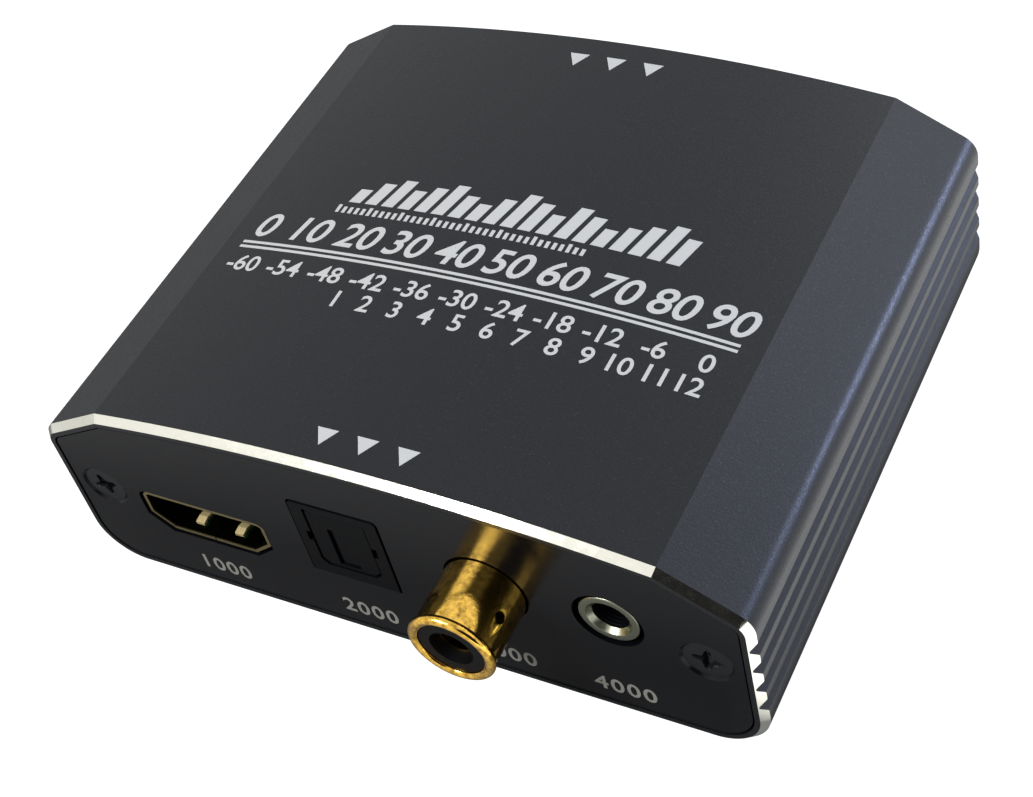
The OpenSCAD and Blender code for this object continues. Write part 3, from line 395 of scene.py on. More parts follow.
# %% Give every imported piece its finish
FINISH = {
    "housing": BODY_METAL, "heat_sink": BODY_METAL,
    "front_panel": PANEL, "rear_panel": PANEL,
    "front_screws": BLACK_STEEL, "rear_screws": BLACK_STEEL,
    "circuit_board": solder_mask_board(),
    "video_out_shell": VIDEO_OUT_SHEET, "video_in_shell": VIDEO_IN_SHEET,
    "mode_switch_frame": SHEET,
    "coax_barrel": GOLD, "coax_contact": GOLD, "stereo_contacts": GOLD,
    "video_out_contacts": GOLD, "video_in_contacts": GOLD,
    "stereo_ring": NICKEL, "power_jack_pin": NICKEL, "power_jack_spring": NICKEL,
    "mode_switch_pins": NICKEL, "power_light_leads": NICKEL, "clock_crystal": NICKEL,
    "storage_capacitors": NICKEL,
    "mode_switch_base": moulded_plastic("punched_laminate", "#5a3f26", low=0.5, high=0.7),
    "power_light": tinted_lens_resin(),
    "optical_emitter": moulded_plastic("smoked_epoxy", "#3a0d12", low=0.12, high=0.2, specular=0.5),
    "thermal_pad": moulded_plastic("silicone_pad", "#7c8794", low=0.6, high=0.75),
    "power_coil": moulded_plastic("pressed_ferrite", "#3a3b3f", low=0.6, high=0.8),
    "converter_chip": RESIN, "audio_chip": RESIN, "memory_chip": RESIN, "voltage_regulators": RESIN,
}
for node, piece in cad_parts.items():
    piece.data.materials.clear()
    piece.data.materials.append(FINISH.get(node, NYLON))
print("finishes:", len({finish.name for finish in FINISH.values()}) + 1)

# %% [markdown]
# New pieces are grids of points. A row is a ring of points, and neighbouring rows are joined with
# quads. When the last row joins the first, the surface closes like a tyre; otherwise each end closes
# on one middle point. Blender then turns all faces of the closed shell outwards, and its volume and
# the number of open edges are printed as a test. Two faces that meet at more than an angle, such as
# 30 degrees, keep a crisp edge between them.

# %% Surfaces from rows of points
CRISP_DEG = 30.0


def quads(rows, columns, tyre=False):
    """Corners of the quads between rings: (i, j), (i, j+1), (i+1, j+1), (i+1, j)."""
    i, j = np.meshgrid(np.arange(rows if tyre else rows - 1), np.arange(columns), indexing="ij")
    up, on = (i + 1) % rows, (j + 1) % columns
    corners = [i * columns + j, i * columns + on, up * columns + on, up * columns + j]
    return np.stack(corners, axis=-1).reshape(-1, 4)


def in_scene(name, data):
    """A new object in the scene that shows a mesh, a lamp or a camera."""
    thing = bpy.data.objects.new(name, data)
    bpy.context.scene.collection.objects.link(thing)
    return thing


def make_piece(name, points, faces, materials, marks=None, crisp=CRISP_DEG):
    """Mesh in millimetres, closed and turned outwards, smooth up to an angle, riding on the box."""
    mesh = bpy.data.meshes.new(name)
    mesh.from_pydata((np.asarray(points) * MM).tolist(), [], [list(map(int, f)) for f in faces])
    for material in materials:
        mesh.materials.append(material)
    if marks is not None:
        mesh.polygons.foreach_set("material_index", np.asarray(marks, dtype=np.int32))
    shell = bmesh.new()
    shell.from_mesh(mesh)
    bmesh.ops.recalc_face_normals(shell, faces=shell.faces)
    size = round(shell.calc_volume() / MM ** 3, 2)
    open_edges = sum(not edge.is_manifold for edge in shell.edges)
    shell.to_mesh(mesh)
    shell.free()
    mesh.polygons.foreach_set("use_smooth", np.ones(len(mesh.polygons), dtype=bool))
    mesh.set_sharp_from_angle(angle=math.radians(crisp))
    piece = in_scene(name, mesh)
    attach(piece, "box")
    print(name, "faces:", len(mesh.polygons), "volume mm3:", size, "open edges:", open_edges)
    return piece


def capped(rows):
    """Points and faces of rings closed at both ends on a middle point."""
    count, columns = rows.shape[:2]
    points = np.concatenate([rows.reshape(-1, 3), rows[[0, -1]].mean(axis=1)])
    ring = np.arange(columns)
    ends = [np.stack([ring + base, np.roll(ring, -1) + base, np.full(columns, middle)], axis=-1)
            for base, middle in ((0, count * columns), ((count - 1) * columns, count * columns + 1))]
    return points, list(quads(count, columns)) + list(ends[0]) + list(ends[1])


print("quads in a tyre of 4 rings of 8:", len(quads(4, 8, tyre=True)))

# %% [markdown]
# The housing is one section carried along its length. A curve could be extruded and its ends bevelled,
# but a bevel changes its width where ribs and arcs meet. So the section is worked out from straight
# lines and arcs: a wide crown arc, a sloping shoulder, a small round corner, the ribbed side and a
# large lower corner. The same recipe moved inwards gives the inner edge of the cut, the rim and the
# cavity.

# %% Lines and arcs of the housing's section
CROWN_HALF, CROWN_RISE, SHOULDER_DROP = 29.7, 2.05, 4.5
SHOULDER_R, BOTTOM_R, INNER_R, WALL = 2.6, 5.6, 0.4, 2.1
EDGE_CUT, RIM, POCKET = 0.7, 0.55, 1.6
GROOVES, GROOVE_FIRST, GROOVE_STEP = 4, 7.6, 2.85
GROOVE_DEPTH, GROOVE_MOUTH, ROOT_R, TIP_R = 0.62, 1.75, 0.38, 0.35
SHOULDER_STEPS, FLOOR_STEPS = 4, 8
CROWN_R = (CROWN_HALF ** 2 + CROWN_RISE ** 2) / (2 * CROWN_RISE)
SLOPE = math.atan2(SHOULDER_DROP, HALF_W - CROWN_HALF)
SLOPE_N = CROWN_HALF * math.sin(SLOPE) + (BODY_H - CROWN_RISE) * math.cos(SLOPE)


def arc(x, z, radius, start, stop, steps):
    """Points on a circle from one angle to another, in degrees."""
    angle = np.radians(np.linspace(start, stop, steps + 1))
    return np.stack([x + radius * np.cos(angle), z + radius * np.sin(angle)], axis=-1)


def fillet(before, corner, after, radius, steps=6):
    """Arc of a radius that touches both sides of a corner: it starts radius x tan(half turn) away."""
    before, corner, after = map(np.array, (before, corner, after))
    into = (corner - before) / np.linalg.norm(corner - before)
    out = (after - corner) / np.linalg.norm(after - corner)
    turn = math.acos(np.clip(into @ out, -1, 1))
    side = np.sign(into[0] * out[1] - into[1] * out[0])
    start = corner - into * radius * math.tan(turn / 2)
    centre = start + side * radius * np.array([-into[1], into[0]])
    swing = side * np.linspace(0, turn, steps + 1)[:, None]
    arm = start - centre
    return centre + np.cos(swing) * arm + np.sin(swing) * np.array([-arm[1], arm[0]])


def ribbed_side():
    """Depth below the side face and height, downwards. Each groove is a round bottom between two flanks
    that touch it; a flank meets the circle at the angle atan(mouth / depth) + acos(radius / distance)."""
    half, mid = GROOVE_MOUTH / 2, GROOVE_DEPTH - ROOT_R
    touch_a = math.atan2(half, mid) + math.acos(ROOT_R / math.hypot(mid, half))
    touch = (-mid + ROOT_R * math.cos(touch_a), ROOT_R * math.sin(touch_a))
    tip = fillet((0, GROOVE_STEP / 2), (0, half), touch, TIP_R)
    bottom = arc(-mid, 0, ROOT_R, math.degrees(touch_a), 360 - math.degrees(touch_a), steps=12)
    groove = np.concatenate([tip, bottom, tip[::-1] * [1, -1]])
    heights = GROOVE_FIRST + GROOVE_STEP * np.arange(GROOVES - 1, -1, -1)
    return np.concatenate([groove + [0, z] for z in heights])


RIBS = ribbed_side()
print("crown radius:", round(CROWN_R, 1), "shoulder slope:", round(math.degrees(SLOPE), 1), "degrees")

# %% [markdown]
# Moving a line or an arc inwards keeps the width of a wall or a cut even all round. The crown's radius
# gets smaller by the inset, the shoulder moves along its normal, and where the two meet is worked out
# from the distance between the line and the centre of the arc.

# %% The whole section, moved inwards by an inset


def upper_half(inset):
    """Crown, shoulder and round corner of the right half, moved inwards by an inset."""
    radius, middle = CROWN_R - inset, BODY_H - CROWN_R
    reach = SLOPE_N - inset - middle * math.cos(SLOPE)
    along = math.sqrt(radius ** 2 - reach ** 2)
    kink = np.array([reach * math.sin(SLOPE) - along * math.cos(SLOPE),
                     middle + reach * math.cos(SLOPE) + along * math.sin(SLOPE)])
    r = max(SHOULDER_R - inset, INNER_R)
    x = HALF_W - inset - r
    z = (SLOPE_N - inset - r - x * math.sin(SLOPE)) / math.cos(SLOPE)
    stop = math.degrees(math.atan2(kink[1] - middle, kink[0]))
    crown = arc(0, middle, radius, 90, stop, steps=32)
    corner = arc(x, z, r, 90 - math.degrees(SLOPE), 0, steps=12)
    shoulder = kink + (corner[0] - kink) * np.linspace(0, 1, SHOULDER_STEPS + 1)[1:-1, None]
    return np.concatenate([crown, shoulder, corner])


def section(inset, ribs=False):
    """Ring of the whole outline, clockwise from the middle of the crown; ribs only on the surface."""
    upper = upper_half(inset)
    depth = RIBS[:, :1] if ribs else 0 * RIBS[:, :1]
    side = np.concatenate([HALF_W - inset + depth, RIBS[:, 1:]], axis=1)
    lower = arc(HALF_W - BOTTOM_R, BOTTOM_R, BOTTOM_R - inset, 0, -90, steps=24)
    floor_x = np.linspace(HALF_W - BOTTOM_R, 0, FLOOR_STEPS + 1)[1:]
    floor = np.stack([floor_x, np.full(FLOOR_STEPS, inset)], axis=-1)
    half = np.concatenate([upper, side, lower, floor])
    return np.concatenate([half, half[-2:0:-1] * [-1, 1]])


outline = section(0, ribs=True)
print("points in the section:", len(outline), "width:", round(float(np.ptp(outline[:, 0])), 2))

# %% [markdown]
# Inside, the extrusion carries two slit screw channels and two pairs of rails for the board. Little of
# that shows from outside, but the model may be opened or taken apart, so it is made too. Its outline is
# one path of lines and arcs, walked from the middle of the ceiling to the middle of the floor.

# %% Section of the cavity
SCREW_FROM_SIDE, SCREW_HEIGHT_SHARE = 4.95, 0.4791
SCREW_X, SCREW_Z = HALF_W - SCREW_FROM_SIDE, SCREW_HEIGHT_SHARE * BODY_H
CHANNEL_R, PILOT_R, SLIT = 2.3, 1.25, 0.9
RAIL_IN, RAIL_T, RAIL_GAP, RAIL_SLACK = 1.45, 1.0, 1.9, 0.15


def cavity_section():
    """Ring of the cavity, clockwise. An arc that ends on a slit ends at asin(half slit / radius)."""
    wall = HALF_W - WALL
    half_web = CHANNEL_R / 2
    outer_a = math.degrees(math.asin(half_web / CHANNEL_R))
    slit_a = math.degrees(math.asin(SLIT / 2 / CHANNEL_R))
    pilot_a = math.degrees(math.asin(SLIT / 2 / PILOT_R))
    top = BOARD_Z + RAIL_SLACK
    rail_x = wall - RAIL_IN
    rails = [(wall, top + RAIL_T), (rail_x, top + RAIL_T), (rail_x, top), (wall, top),
             (wall, top - RAIL_GAP), (rail_x, top - RAIL_GAP), (rail_x, top - RAIL_GAP - RAIL_T)]
    low = top - RAIL_GAP - RAIL_T
    lower_r = BOTTOM_R - WALL
    dip = math.degrees(math.asin((low - BOTTOM_R) / lower_r))
    half = np.concatenate([
        upper_half(WALL), [(wall, SCREW_Z + half_web)],
        arc(SCREW_X, SCREW_Z, CHANNEL_R, outer_a, 180 - slit_a, steps=20),
        arc(SCREW_X, SCREW_Z, PILOT_R, 180 - pilot_a, pilot_a - 180, steps=28),
        arc(SCREW_X, SCREW_Z, CHANNEL_R, 180 + slit_a, 360 - outer_a, steps=20),
        [(wall, SCREW_Z - half_web)], rails,
        arc(HALF_W - BOTTOM_R, BOTTOM_R, lower_r, dip, -90, steps=16), [(0, WALL)]])
    return np.concatenate([half, half[-2:0:-1] * [-1, 1]])


hollow = cavity_section()
print("points in the cavity:", len(hollow), "height:", round(float(np.ptp(hollow[:, 1])), 2))

# %% [markdown]
# The rows run from the floor of one pocket over the rim, the 45 degree cut and the outer surface to
# the floor of the other pocket. A groove is as deep at the cut as anywhere, so the outer edge of the
# cut steps back by the depth of the groove, and the bright band narrows there, as on the real one.
# The pocket's floor is flat with a hole in it, so triangles between its two outlines fill it.

# %% The housing with rounded ribs and bright ends
HOUSING_CRISP_DEG = 10.0


def row(ring, y):
    """A ring of the section placed at a depth, which may differ from point to point."""
    return np.stack([ring[:, 0], np.broadcast_to(y, len(ring)), ring[:, 1]], axis=-1)


def make_housing():
    """Outer rows, both pocket floors and the cavity wall, joined into one closed shell."""
    cut, rim = section(EDGE_CUT), section(EDGE_CUT + RIM)
    step = EDGE_CUT - abs(section(0)[:, 0] - outline[:, 0])
    rows = np.stack([
        row(rim, REAR_Y - POCKET), row(rim, REAR_Y), row(cut, REAR_Y), row(outline, REAR_Y - step),
        row(outline, FRONT_Y + step), row(cut, FRONT_Y), row(rim, FRONT_Y), row(rim, FRONT_Y + POCKET)])
    bands, columns = rows.shape[:2]
    inner = np.stack([row(hollow, FRONT_Y + POCKET), row(hollow, REAR_Y - POCKET)])
    points = np.concatenate([rows.reshape(-1, 3), inner.reshape(-1, 3)])
    start = bands * columns
    rings = [[Vector((x, z, 0)) for x, z in ring] for ring in (rim, hollow)]
    fill = np.array([tuple(t) for t in tessellate_polygon(rings)])
    front = np.where(fill < columns, fill + (bands - 1) * columns, fill - columns + start)
    rear = np.where(fill < columns, fill, fill - columns + start + len(hollow))
    faces = list(quads(bands, columns)) + list(front) + list(rear) + list(quads(2, len(hollow)) + start)
    # The bands are pocket, rim, cut, outside, cut, rim and pocket, and both cuts are bright.
    bright = np.repeat([0, 0, 1, 0, 1, 0, 0], columns)
    marks = np.concatenate([bright, np.zeros(len(faces) - len(bright), dtype=int)])
    metals = [BODY_METAL, CUT_METAL]
    piece = make_piece("housing_shell", points, faces, metals, marks, HOUSING_CRISP_DEG)
    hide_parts("housing")


make_housing()

# %% [markdown]
# The two screw pairs have a cross recess, which the solid model has with straight walls. A Boolean
# modifier could cut a finer one, but it leaves ragged triangles. So the top of each head is a round
# grid, whose depth is worked out from how far a point lies inside the cross. The arms get narrower and
# shallower outwards, as the tip of a driver does.

# %% The cross recess
ARM_LEN, ARM_HALF, RECESS = 1.5, 0.66, 1.15
ARM_NARROWS, ARM_RISES = 0.3, 0.4
WALL_WIDE, END_WIDE = 0.09, 0.16


def recess_depth(x, z):
    """Deepest of two crossed bars; each bar fades over a short wall and gets shallower outwards."""
    depth = np.zeros_like(x)
    for along, across in ((abs(x), abs(z)), (abs(z), abs(x))):
        wall = np.clip((ARM_HALF - ARM_NARROWS * along - across) / WALL_WIDE, 0, 1)
        end = np.clip((ARM_LEN - along) / END_WIDE, 0, 1)
        depth = np.maximum(depth, wall * end * (RECESS - ARM_RISES * along))
    return depth


print("recess in the middle:", recess_depth(np.zeros(1), np.zeros(1))[0])

# %% [markdown]
# The rest of a screw is turned: a small rounded rim, the cone under the head, and the shaft with its
# thread. The thread is drawn as rings of two radii by turns, half a pitch apart, since all of it is
# hidden in the channel. In real life no two screws stop at the same angle, so each has its own turn.

# %% Screws
HEAD_R, HEAD_H, HEAD_EDGE_R, HEAD_MIDDLE_R = 2.4, 1.15, 0.12, 0.03
SHAFT_R, TIP_SHARE = 1.2, 0.6
THREAD_PITCH, THREAD_DEPTH, THREAD_FROM_HEAD, THREAD_TO_END = 0.5, 0.16, 0.2, 0.3
SCREW_SPOKES, CROSS_RINGS, PLAIN_RINGS, PLAIN_FROM_CROSS = 160, 38, 6, 0.1
SCREW_CRISP_DEG = 35.0
FRONT_TURNS, REAR_TURNS = (20, -6), (35, 70)


def screw_rows(x, z, face_y, end_y, inwards, turn):
    """Rows from the middle of the head over its rim and cone, then down the threaded shaft."""
    angle = np.linspace(0, 2 * math.pi, SCREW_SPOKES, endpoint=False)
    flat_r = HEAD_R - HEAD_EDGE_R
    crossed_r = np.linspace(HEAD_MIDDLE_R, ARM_LEN, CROSS_RINGS)
    plain_r = np.linspace(ARM_LEN + PLAIN_FROM_CROSS, flat_r, PLAIN_RINGS)
    face_r = np.concatenate([crossed_r, plain_r])
    flat_x, flat_z = face_r[:, None] * np.cos(angle), face_r[:, None] * np.sin(angle)
    rows = [np.stack([flat_x, recess_depth(flat_x, flat_z), flat_z], axis=-1)]
    rim = arc(flat_r, HEAD_EDGE_R, HEAD_EDGE_R, -90, 0, steps=4)[1:]
    length = abs(end_y - face_y)
    down = np.arange(HEAD_H + THREAD_FROM_HEAD, length - THREAD_TO_END, THREAD_PITCH / 2)
    thread = np.stack([SHAFT_R - THREAD_DEPTH * (np.arange(len(down)) % 2), down], axis=-1)
    side = np.concatenate([rim, [(SHAFT_R, HEAD_H)], thread, [(SHAFT_R * TIP_SHARE, length)]])
    r, depth = side[:, :1], side[:, 1:]
    rows.append(np.stack([r * np.cos(angle), depth + 0 * angle, r * np.sin(angle)], axis=-1))
    rows = np.concatenate(rows)
    c, s = math.cos(math.radians(turn)), math.sin(math.radians(turn))
    return np.stack([x + c * rows[..., 0] - s * rows[..., 2], face_y + inwards * rows[..., 1],
                     z + s * rows[..., 0] + c * rows[..., 2]], axis=-1)


def make_screws(node, inwards, turns):
    """Both screws of one panel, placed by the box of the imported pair."""
    low, high = box_mm(node)
    face_y, end_y = (low[1], high[1]) if inwards > 0 else (high[1], low[1])
    z = (low[2] + high[2]) / 2
    points, faces = [], []
    for side, turn in zip((-1, 1), turns):
        more, links = capped(screw_rows(side * SCREW_X, z, face_y, end_y, inwards, turn))
        faces += [f + sum(map(len, points)) for f in links]
        points.append(more)
    points = np.concatenate(points)
    piece = make_piece(node + "_turned", points, faces, [BLACK_STEEL], crisp=SCREW_CRISP_DEG)
    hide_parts(node)


make_screws("front_screws", 1, FRONT_TURNS)
make_screws("rear_screws", -1, REAR_TURNS)

# %% [markdown]
# The stereo socket has a turned ring. Its face is flat, and inside it a wide cone leads the plug into
# a bore with fine turning grooves. A Screw modifier could turn the profile about the axis of the
# socket. As a grid it closes on itself, with no seam to merge, and its rows can change material.

# %% Turned ring of the stereo socket
BORE_R, CONE_R, CONE_LEN = 1.8, 2.3, 0.45
FACE_EDGE_R, OUTER_EDGE_R, BACK_EDGE = 0.06, 0.12, 0.1
TURNING_PITCH, TURNING_DEPTH = 0.4, 0.04
BORE_FROM_CONE, CONE_STEP, BORE_RINGS, BARE_RINGS = 0.05, 0.02, 60, 3


def turned(profile, x, z, steps=96):
    """Rows of a closed profile (radius, y) turned about an axis along Y."""
    angle = np.linspace(0, 2 * math.pi, steps, endpoint=False)
    r, y = profile[:, :1], profile[:, 1:]
    return np.stack([x + r * np.sin(angle), y + 0 * angle, z + r * np.cos(angle)], axis=-1)


def make_stereo_ring():
    """Rounded outer edge, flat face, leading cone, and a bore whose radius is BORE_R + depth x |sine|.
    All but a few rings of points next to the cone give the metal bore black nylon, as painted shade."""
    low, high = box_mm("stereo_ring")
    outer, face, back = (high[0] - low[0]) / 2, low[1], high[1]
    y = np.linspace(face + CONE_LEN + BORE_FROM_CONE, back - BACK_EDGE, BORE_RINGS)
    ripple = TURNING_DEPTH * np.abs(np.sin(math.pi * (y - y[0]) / TURNING_PITCH))
    grooves = np.stack([BORE_R + ripple, y], axis=-1)
    profile = np.concatenate([
        grooves[::-1], [(BORE_R + CONE_STEP, face + CONE_LEN)],
        arc(CONE_R, face + FACE_EDGE_R, FACE_EDGE_R, 200, 270, steps=4),
        arc(outer - OUTER_EDGE_R, face + OUTER_EDGE_R, OUTER_EDGE_R, -90, 0, steps=6),
        [(outer, back - BACK_EDGE), (outer - BACK_EDGE, back), (BORE_R + BACK_EDGE, back)]])
    rows = turned(profile, (low[0] + high[0]) / 2, (low[2] + high[2]) / 2)
    # Painted shade: the rings of the bore, except the few next to the cone, take black nylon instead of
    # nickel.
    shaded_bore = np.repeat(np.arange(len(rows)) < len(grooves) - BARE_RINGS, rows.shape[1]).astype(int)
    faces = quads(len(rows), rows.shape[1], tyre=True)
    piece = make_piece("stereo_ring_turned", rows.reshape(-1, 3), faces, [NICKEL, NYLON], shaded_bore)
    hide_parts("stereo_ring")


make_stereo_ring()

# %% [markdown]
# The prints are plain scales, bars, arrow heads and numbers, printed through a fine screen with white
# ink on the top and grey ink on the panels. Such ink lies flat and matt. A picture could carry them,
# but shapes stay sharp close up. Each mark starts as a flat shape: a strip, a triangle, or a number
# from Blender's own font, which is made a mesh before it is scaled to its height and moved to its place.

# %% Flat marks
FONT_RESOLUTION = 5


def bar(x0, y0, x1, y1, slant=0.0, steps=1):
    """A strip between two corners, cut into steps so that it can follow the curved top."""
    x = np.linspace(x0, x1, steps + 1)
    lower, upper = np.stack([x, 0 * x + y0], axis=-1), np.stack([x + slant, 0 * x + y1], axis=-1)
    k = np.arange(steps)
    cells = np.stack([k, k + 1, k + steps + 2, k + steps + 1], axis=-1)
    return np.concatenate([lower, upper]), cells.tolist()


def triangle(x, y, half, height):
    """A small arrow head; a negative height points it to the front."""
    return np.array([(x - half, y), (x + half, y), (x, y + height)]), [(0, 1, 2)]


def number(text, x, y, height, slant=0.0, weight=0.02, spacing=1.0):
    """A number centred on x and standing on y. A slant moves each point right by slant x its height."""
    curve = bpy.data.curves.new("number", "FONT")
    curve.body, curve.offset, curve.space_character = text, weight, spacing
    curve.resolution_u, curve.fill_mode = FONT_RESOLUTION, "FRONT"
    holder = bpy.data.objects.new("number", curve)
    flat = holder.to_mesh()
    points = np.empty(len(flat.vertices) * 3)
    flat.vertices.foreach_get("co", points)
    points = points.reshape(-1, 3)[:, :2]
    faces = [tuple(f.vertices) for f in flat.polygons]
    holder.to_mesh_clear()
    bpy.data.objects.remove(holder)
    bpy.data.curves.remove(curve)
    low, high = points.min(axis=0), points.max(axis=0)
    points = (points - [(low[0] + high[0]) / 2, low[1]]) * height / (high[1] - low[1])
    return points + [x, y] + slant * points[:, 1:] * [1, 0], faces


def number_row(labels, x0, x1, y, height, slant=0.0, weight=0.02):
    """Labels at even steps from x0 to x1."""
    return [number(label, x, y, height, slant, weight)
            for label, x in zip(labels, np.linspace(x0, x1, len(labels)))]


print("faces of a flat 8:", len(number("8", 0, 0, 2)[1]))

# %% [markdown]
# A flat mark becomes a closed solid like everything else: it is laid on its surface twice, once a
# little above and once a little below, and walls join the two along every edge that only one face has.
# A Solidify modifier comes close to that, but this way both skins follow the curved top exactly.

# %% Ink with a thickness
INK_T = 0.015
WHITE_TONE, GREY_TONE = "#b6b7b6", "#8c8b86"


def silk_screen_ink(name, colour):
    """Screen-printed ink: flat and matt, slightly uneven where the surface below shows through."""
    material, tree, shader = new_material(name, colour, roughness=0.55, Specular_IOR_Level=0.3)
    cloud = grain(tree, per_mm=6.0)
    uneven_gloss(tree, shader, cloud, low=0.45, high=0.65)
    relief(tree, shader, cloud, height_mm=0.01, strength=0.6)
    return material


def printed(name, marks, lay, ink):
    """Give flat marks a thickness and lay them on a surface: lay(u, v, w) returns x, y and z."""
    points, faces = [], []
    for flat, cells in marks:
        base, count = sum(map(len, points)), len(flat)
        edges = [(f[k], f[(k + 1) % len(f)]) for f in cells for k in range(len(f))]
        known = set(edges)
        loose = [e for e in edges if e[::-1] not in known]
        faces += [[base + k for k in f] for f in cells]
        faces += [[base + count + k for k in f[::-1]] for f in cells]
        faces += [[base + b, base + a, base + count + a, base + count + b] for a, b in loose]
        for w in (INK_T, -INK_T):
            points.append(np.stack(lay(flat[:, 0], flat[:, 1], w), axis=-1))
    piece = make_piece(name, np.concatenate(points), faces, [ink])


WHITE_INK = silk_screen_ink("silver_white_ink", WHITE_TONE)
GREY_INK = silk_screen_ink("dull_grey_ink", GREY_TONE)
print("inks:", WHITE_INK.name, GREY_INK.name)

# %% [markdown]
# The top holds the largest print: a row of level bars over a fine scale, two long lines, three rows of
# numbers, and three arrow heads at each end that point to the front. Places are distances from the
# middle and from the front edge. The top is curved, so the long lines are cut into short steps.

# %% Print on the top
LINE_ENDS, LINE_BANDS, LINE_STEPS = (-27.6, 27.4), ((25.55, 25.9), (24.85, 25.2)), 24
LEVELS = (5, 8, 10, 7, 9, 11, 8, 6, 9, 12, 10, 7, 11, 9, 6, 8, 10, 12, 9)
LEVEL_X, LEVEL_STEP, LEVEL_W, LEVEL_Y, LEVEL_TALL, LEVEL_SLANT = -18.6, 1.98, 1.4, 33.0, 4.9, 1.2
TICKS, TICK_X, TICK_STEP, TICK_W, TICK_Y, TICK_SHORT, TICK_LONG = 38, -19.4, 0.76, 0.4, 31.35, 0.9, 1.15
TENS = dict(x0=-26.2, x1=25.4, y=26.6, height=3.5, slant=0.2, weight=0.014)
SIXES = dict(x0=-25.6, x1=25.4, y=21.6, height=2.2, weight=0.012)
ONES = dict(x0=-12.4, x1=25.0, y=18.7, height=2.15, weight=0.012)
ARROW_X, ARROW_Y, ARROW_HALF, ARROW_LEN = (-4.2, 0.1, 4.4), (4.5, 59.7), 1.15, 2.0


def on_top(u, v, w):
    """Height on the crown = centre of the arc + root of (radius + w) squared less u squared."""
    return u, FRONT_Y + v, BODY_H - CROWN_R + np.sqrt((CROWN_R + w) ** 2 - u ** 2)


top_marks = [bar(LINE_ENDS[0], y0, LINE_ENDS[1], y1, steps=LINE_STEPS) for y0, y1 in LINE_BANDS]
for k, level in enumerate(LEVELS):
    x, tall = LEVEL_X + LEVEL_STEP * k, level / max(LEVELS)
    top_marks.append(bar(x, LEVEL_Y, x + LEVEL_W, LEVEL_Y + LEVEL_TALL * tall, LEVEL_SLANT * tall))
for k in range(TICKS):
    x, tall = TICK_X + TICK_STEP * k, TICK_SHORT if k % 5 else TICK_LONG
    top_marks.append(bar(x, TICK_Y, x + TICK_W, TICK_Y + tall))
top_marks += number_row([str(10 * k) for k in range(10)], **TENS)
top_marks += number_row([str(6 * k - 60) for k in range(11)], **SIXES)
top_marks += number_row([str(k) for k in range(1, 13)], **ONES)
top_marks += [triangle(x, y, ARROW_HALF, -ARROW_LEN) for x in ARROW_X for y in ARROW_Y]
printed("top_print", top_marks, on_top, WHITE_INK)

# %% [markdown]
# Every socket has a plain number centred below it, and each place of the switch at the rear has one
# too. The rear panel is seen from the other side, so right and left change places there.

# %% Numbers on both panels
PORT_Y, PORT_H, PORT_WEIGHT, PORT_SPACING = 2.9, 2.1, 0.016, 1.15
SWITCH_TRAVEL, SWITCH_Y, SWITCH_H = 2, 4.6, 1.5


def port_mark(label, x):
    """A plain four-digit number under a socket."""
    return number(label + "000", x, PORT_Y, PORT_H, 0, PORT_WEIGHT, PORT_SPACING)


def on_front(u, v, w):
    """The front panel is seen with +X to the right."""
    return u, 0 * u + box_mm("front_panel")[0][1] - w, v


def on_rear(u, v, w):
    """The rear panel is seen with +X to the left."""
    return -u, 0 * u + box_mm("rear_panel")[1][1] + w, v


def middle_x(node):
    """Middle of a piece across the box."""
    low, high = box_mm(node)
    return (low[0] + high[0]) / 2


front_ports = zip("1234", ("video_out_shell", "optical_body", "coax_barrel", "stereo_ring"))
front_marks = [port_mark(label, middle_x(node)) for label, node in front_ports]
rear_ports = zip("56", ("power_jack_pin", "video_in_shell"))
rear_marks = [port_mark(label, -middle_x(node)) for label, node in rear_ports]
switch_x = -middle_x("mode_switch_frame")
rear_marks += number_row("321", switch_x - SWITCH_TRAVEL, switch_x + SWITCH_TRAVEL, SWITCH_Y, SWITCH_H)
printed("front_print", front_marks, on_front, GREY_INK)
printed("rear_print", rear_marks, on_rear, GREY_INK)

# %% [markdown]
# The photograph was taken from above the right front corner with a lens of medium length. A camera
# placed by eye never quite fits, so this one stands where the view was solved to be from the corners of
# the body, with a small shift for the framing. The focal length in millimetres = focal length in
# pixels / image width x sensor width.

# %% Camera
IMAGE_W, IMAGE_H = 1033, 797
CAMERA_MM = (82.4, -110.2, 147.98)
CAMERA_TURN_DEG = (42.838, 11.291, 26.524)
LENS_PIXELS = 1871.1
CENTRE_PIXEL = (501.56, 389.27)
SENSOR_MM = 36.0
CLIP_START_MM = 5.0

camera = in_scene("camera", bpy.data.cameras.new("camera"))
camera.data.sensor_width = SENSOR_MM
camera.data.lens = LENS_PIXELS / IMAGE_W * SENSOR_MM
camera.data.shift_x = (IMAGE_W / 2 - CENTRE_PIXEL[0]) / IMAGE_W
camera.data.shift_y = (CENTRE_PIXEL[1] - IMAGE_H / 2) / IMAGE_W
camera.data.clip_start = CLIP_START_MM * MM
camera.location = [c * MM for c in CAMERA_MM]
camera.rotation_euler = [math.radians(a) for a in CAMERA_TURN_DEG]
bpy.context.scene.camera = camera
print("focal length mm:", round(camera.data.lens, 2))

# %% [markdown]
# Around the box is a white studio. Light Path sends full white to camera, mirror and glass rays, and a
# weaker white to all others, so the background is white while the light on the box stays soft. Bright
# metal looks like metal only where it also mirrors something dark. So the studio has one round, soft
# dark patch beside the lens, which only mirror rays see. It blackens the cut on the right shoulder
# and one side of the gold barrel.

# %% White studio with a dark patch
PATCH_TOWARDS = (0.558, -0.714, 0.423)
PATCH_EDGE_DEG = (32, 25)
PATCH_LIGHT, STUDIO_LIGHT = 0.015, 0.35

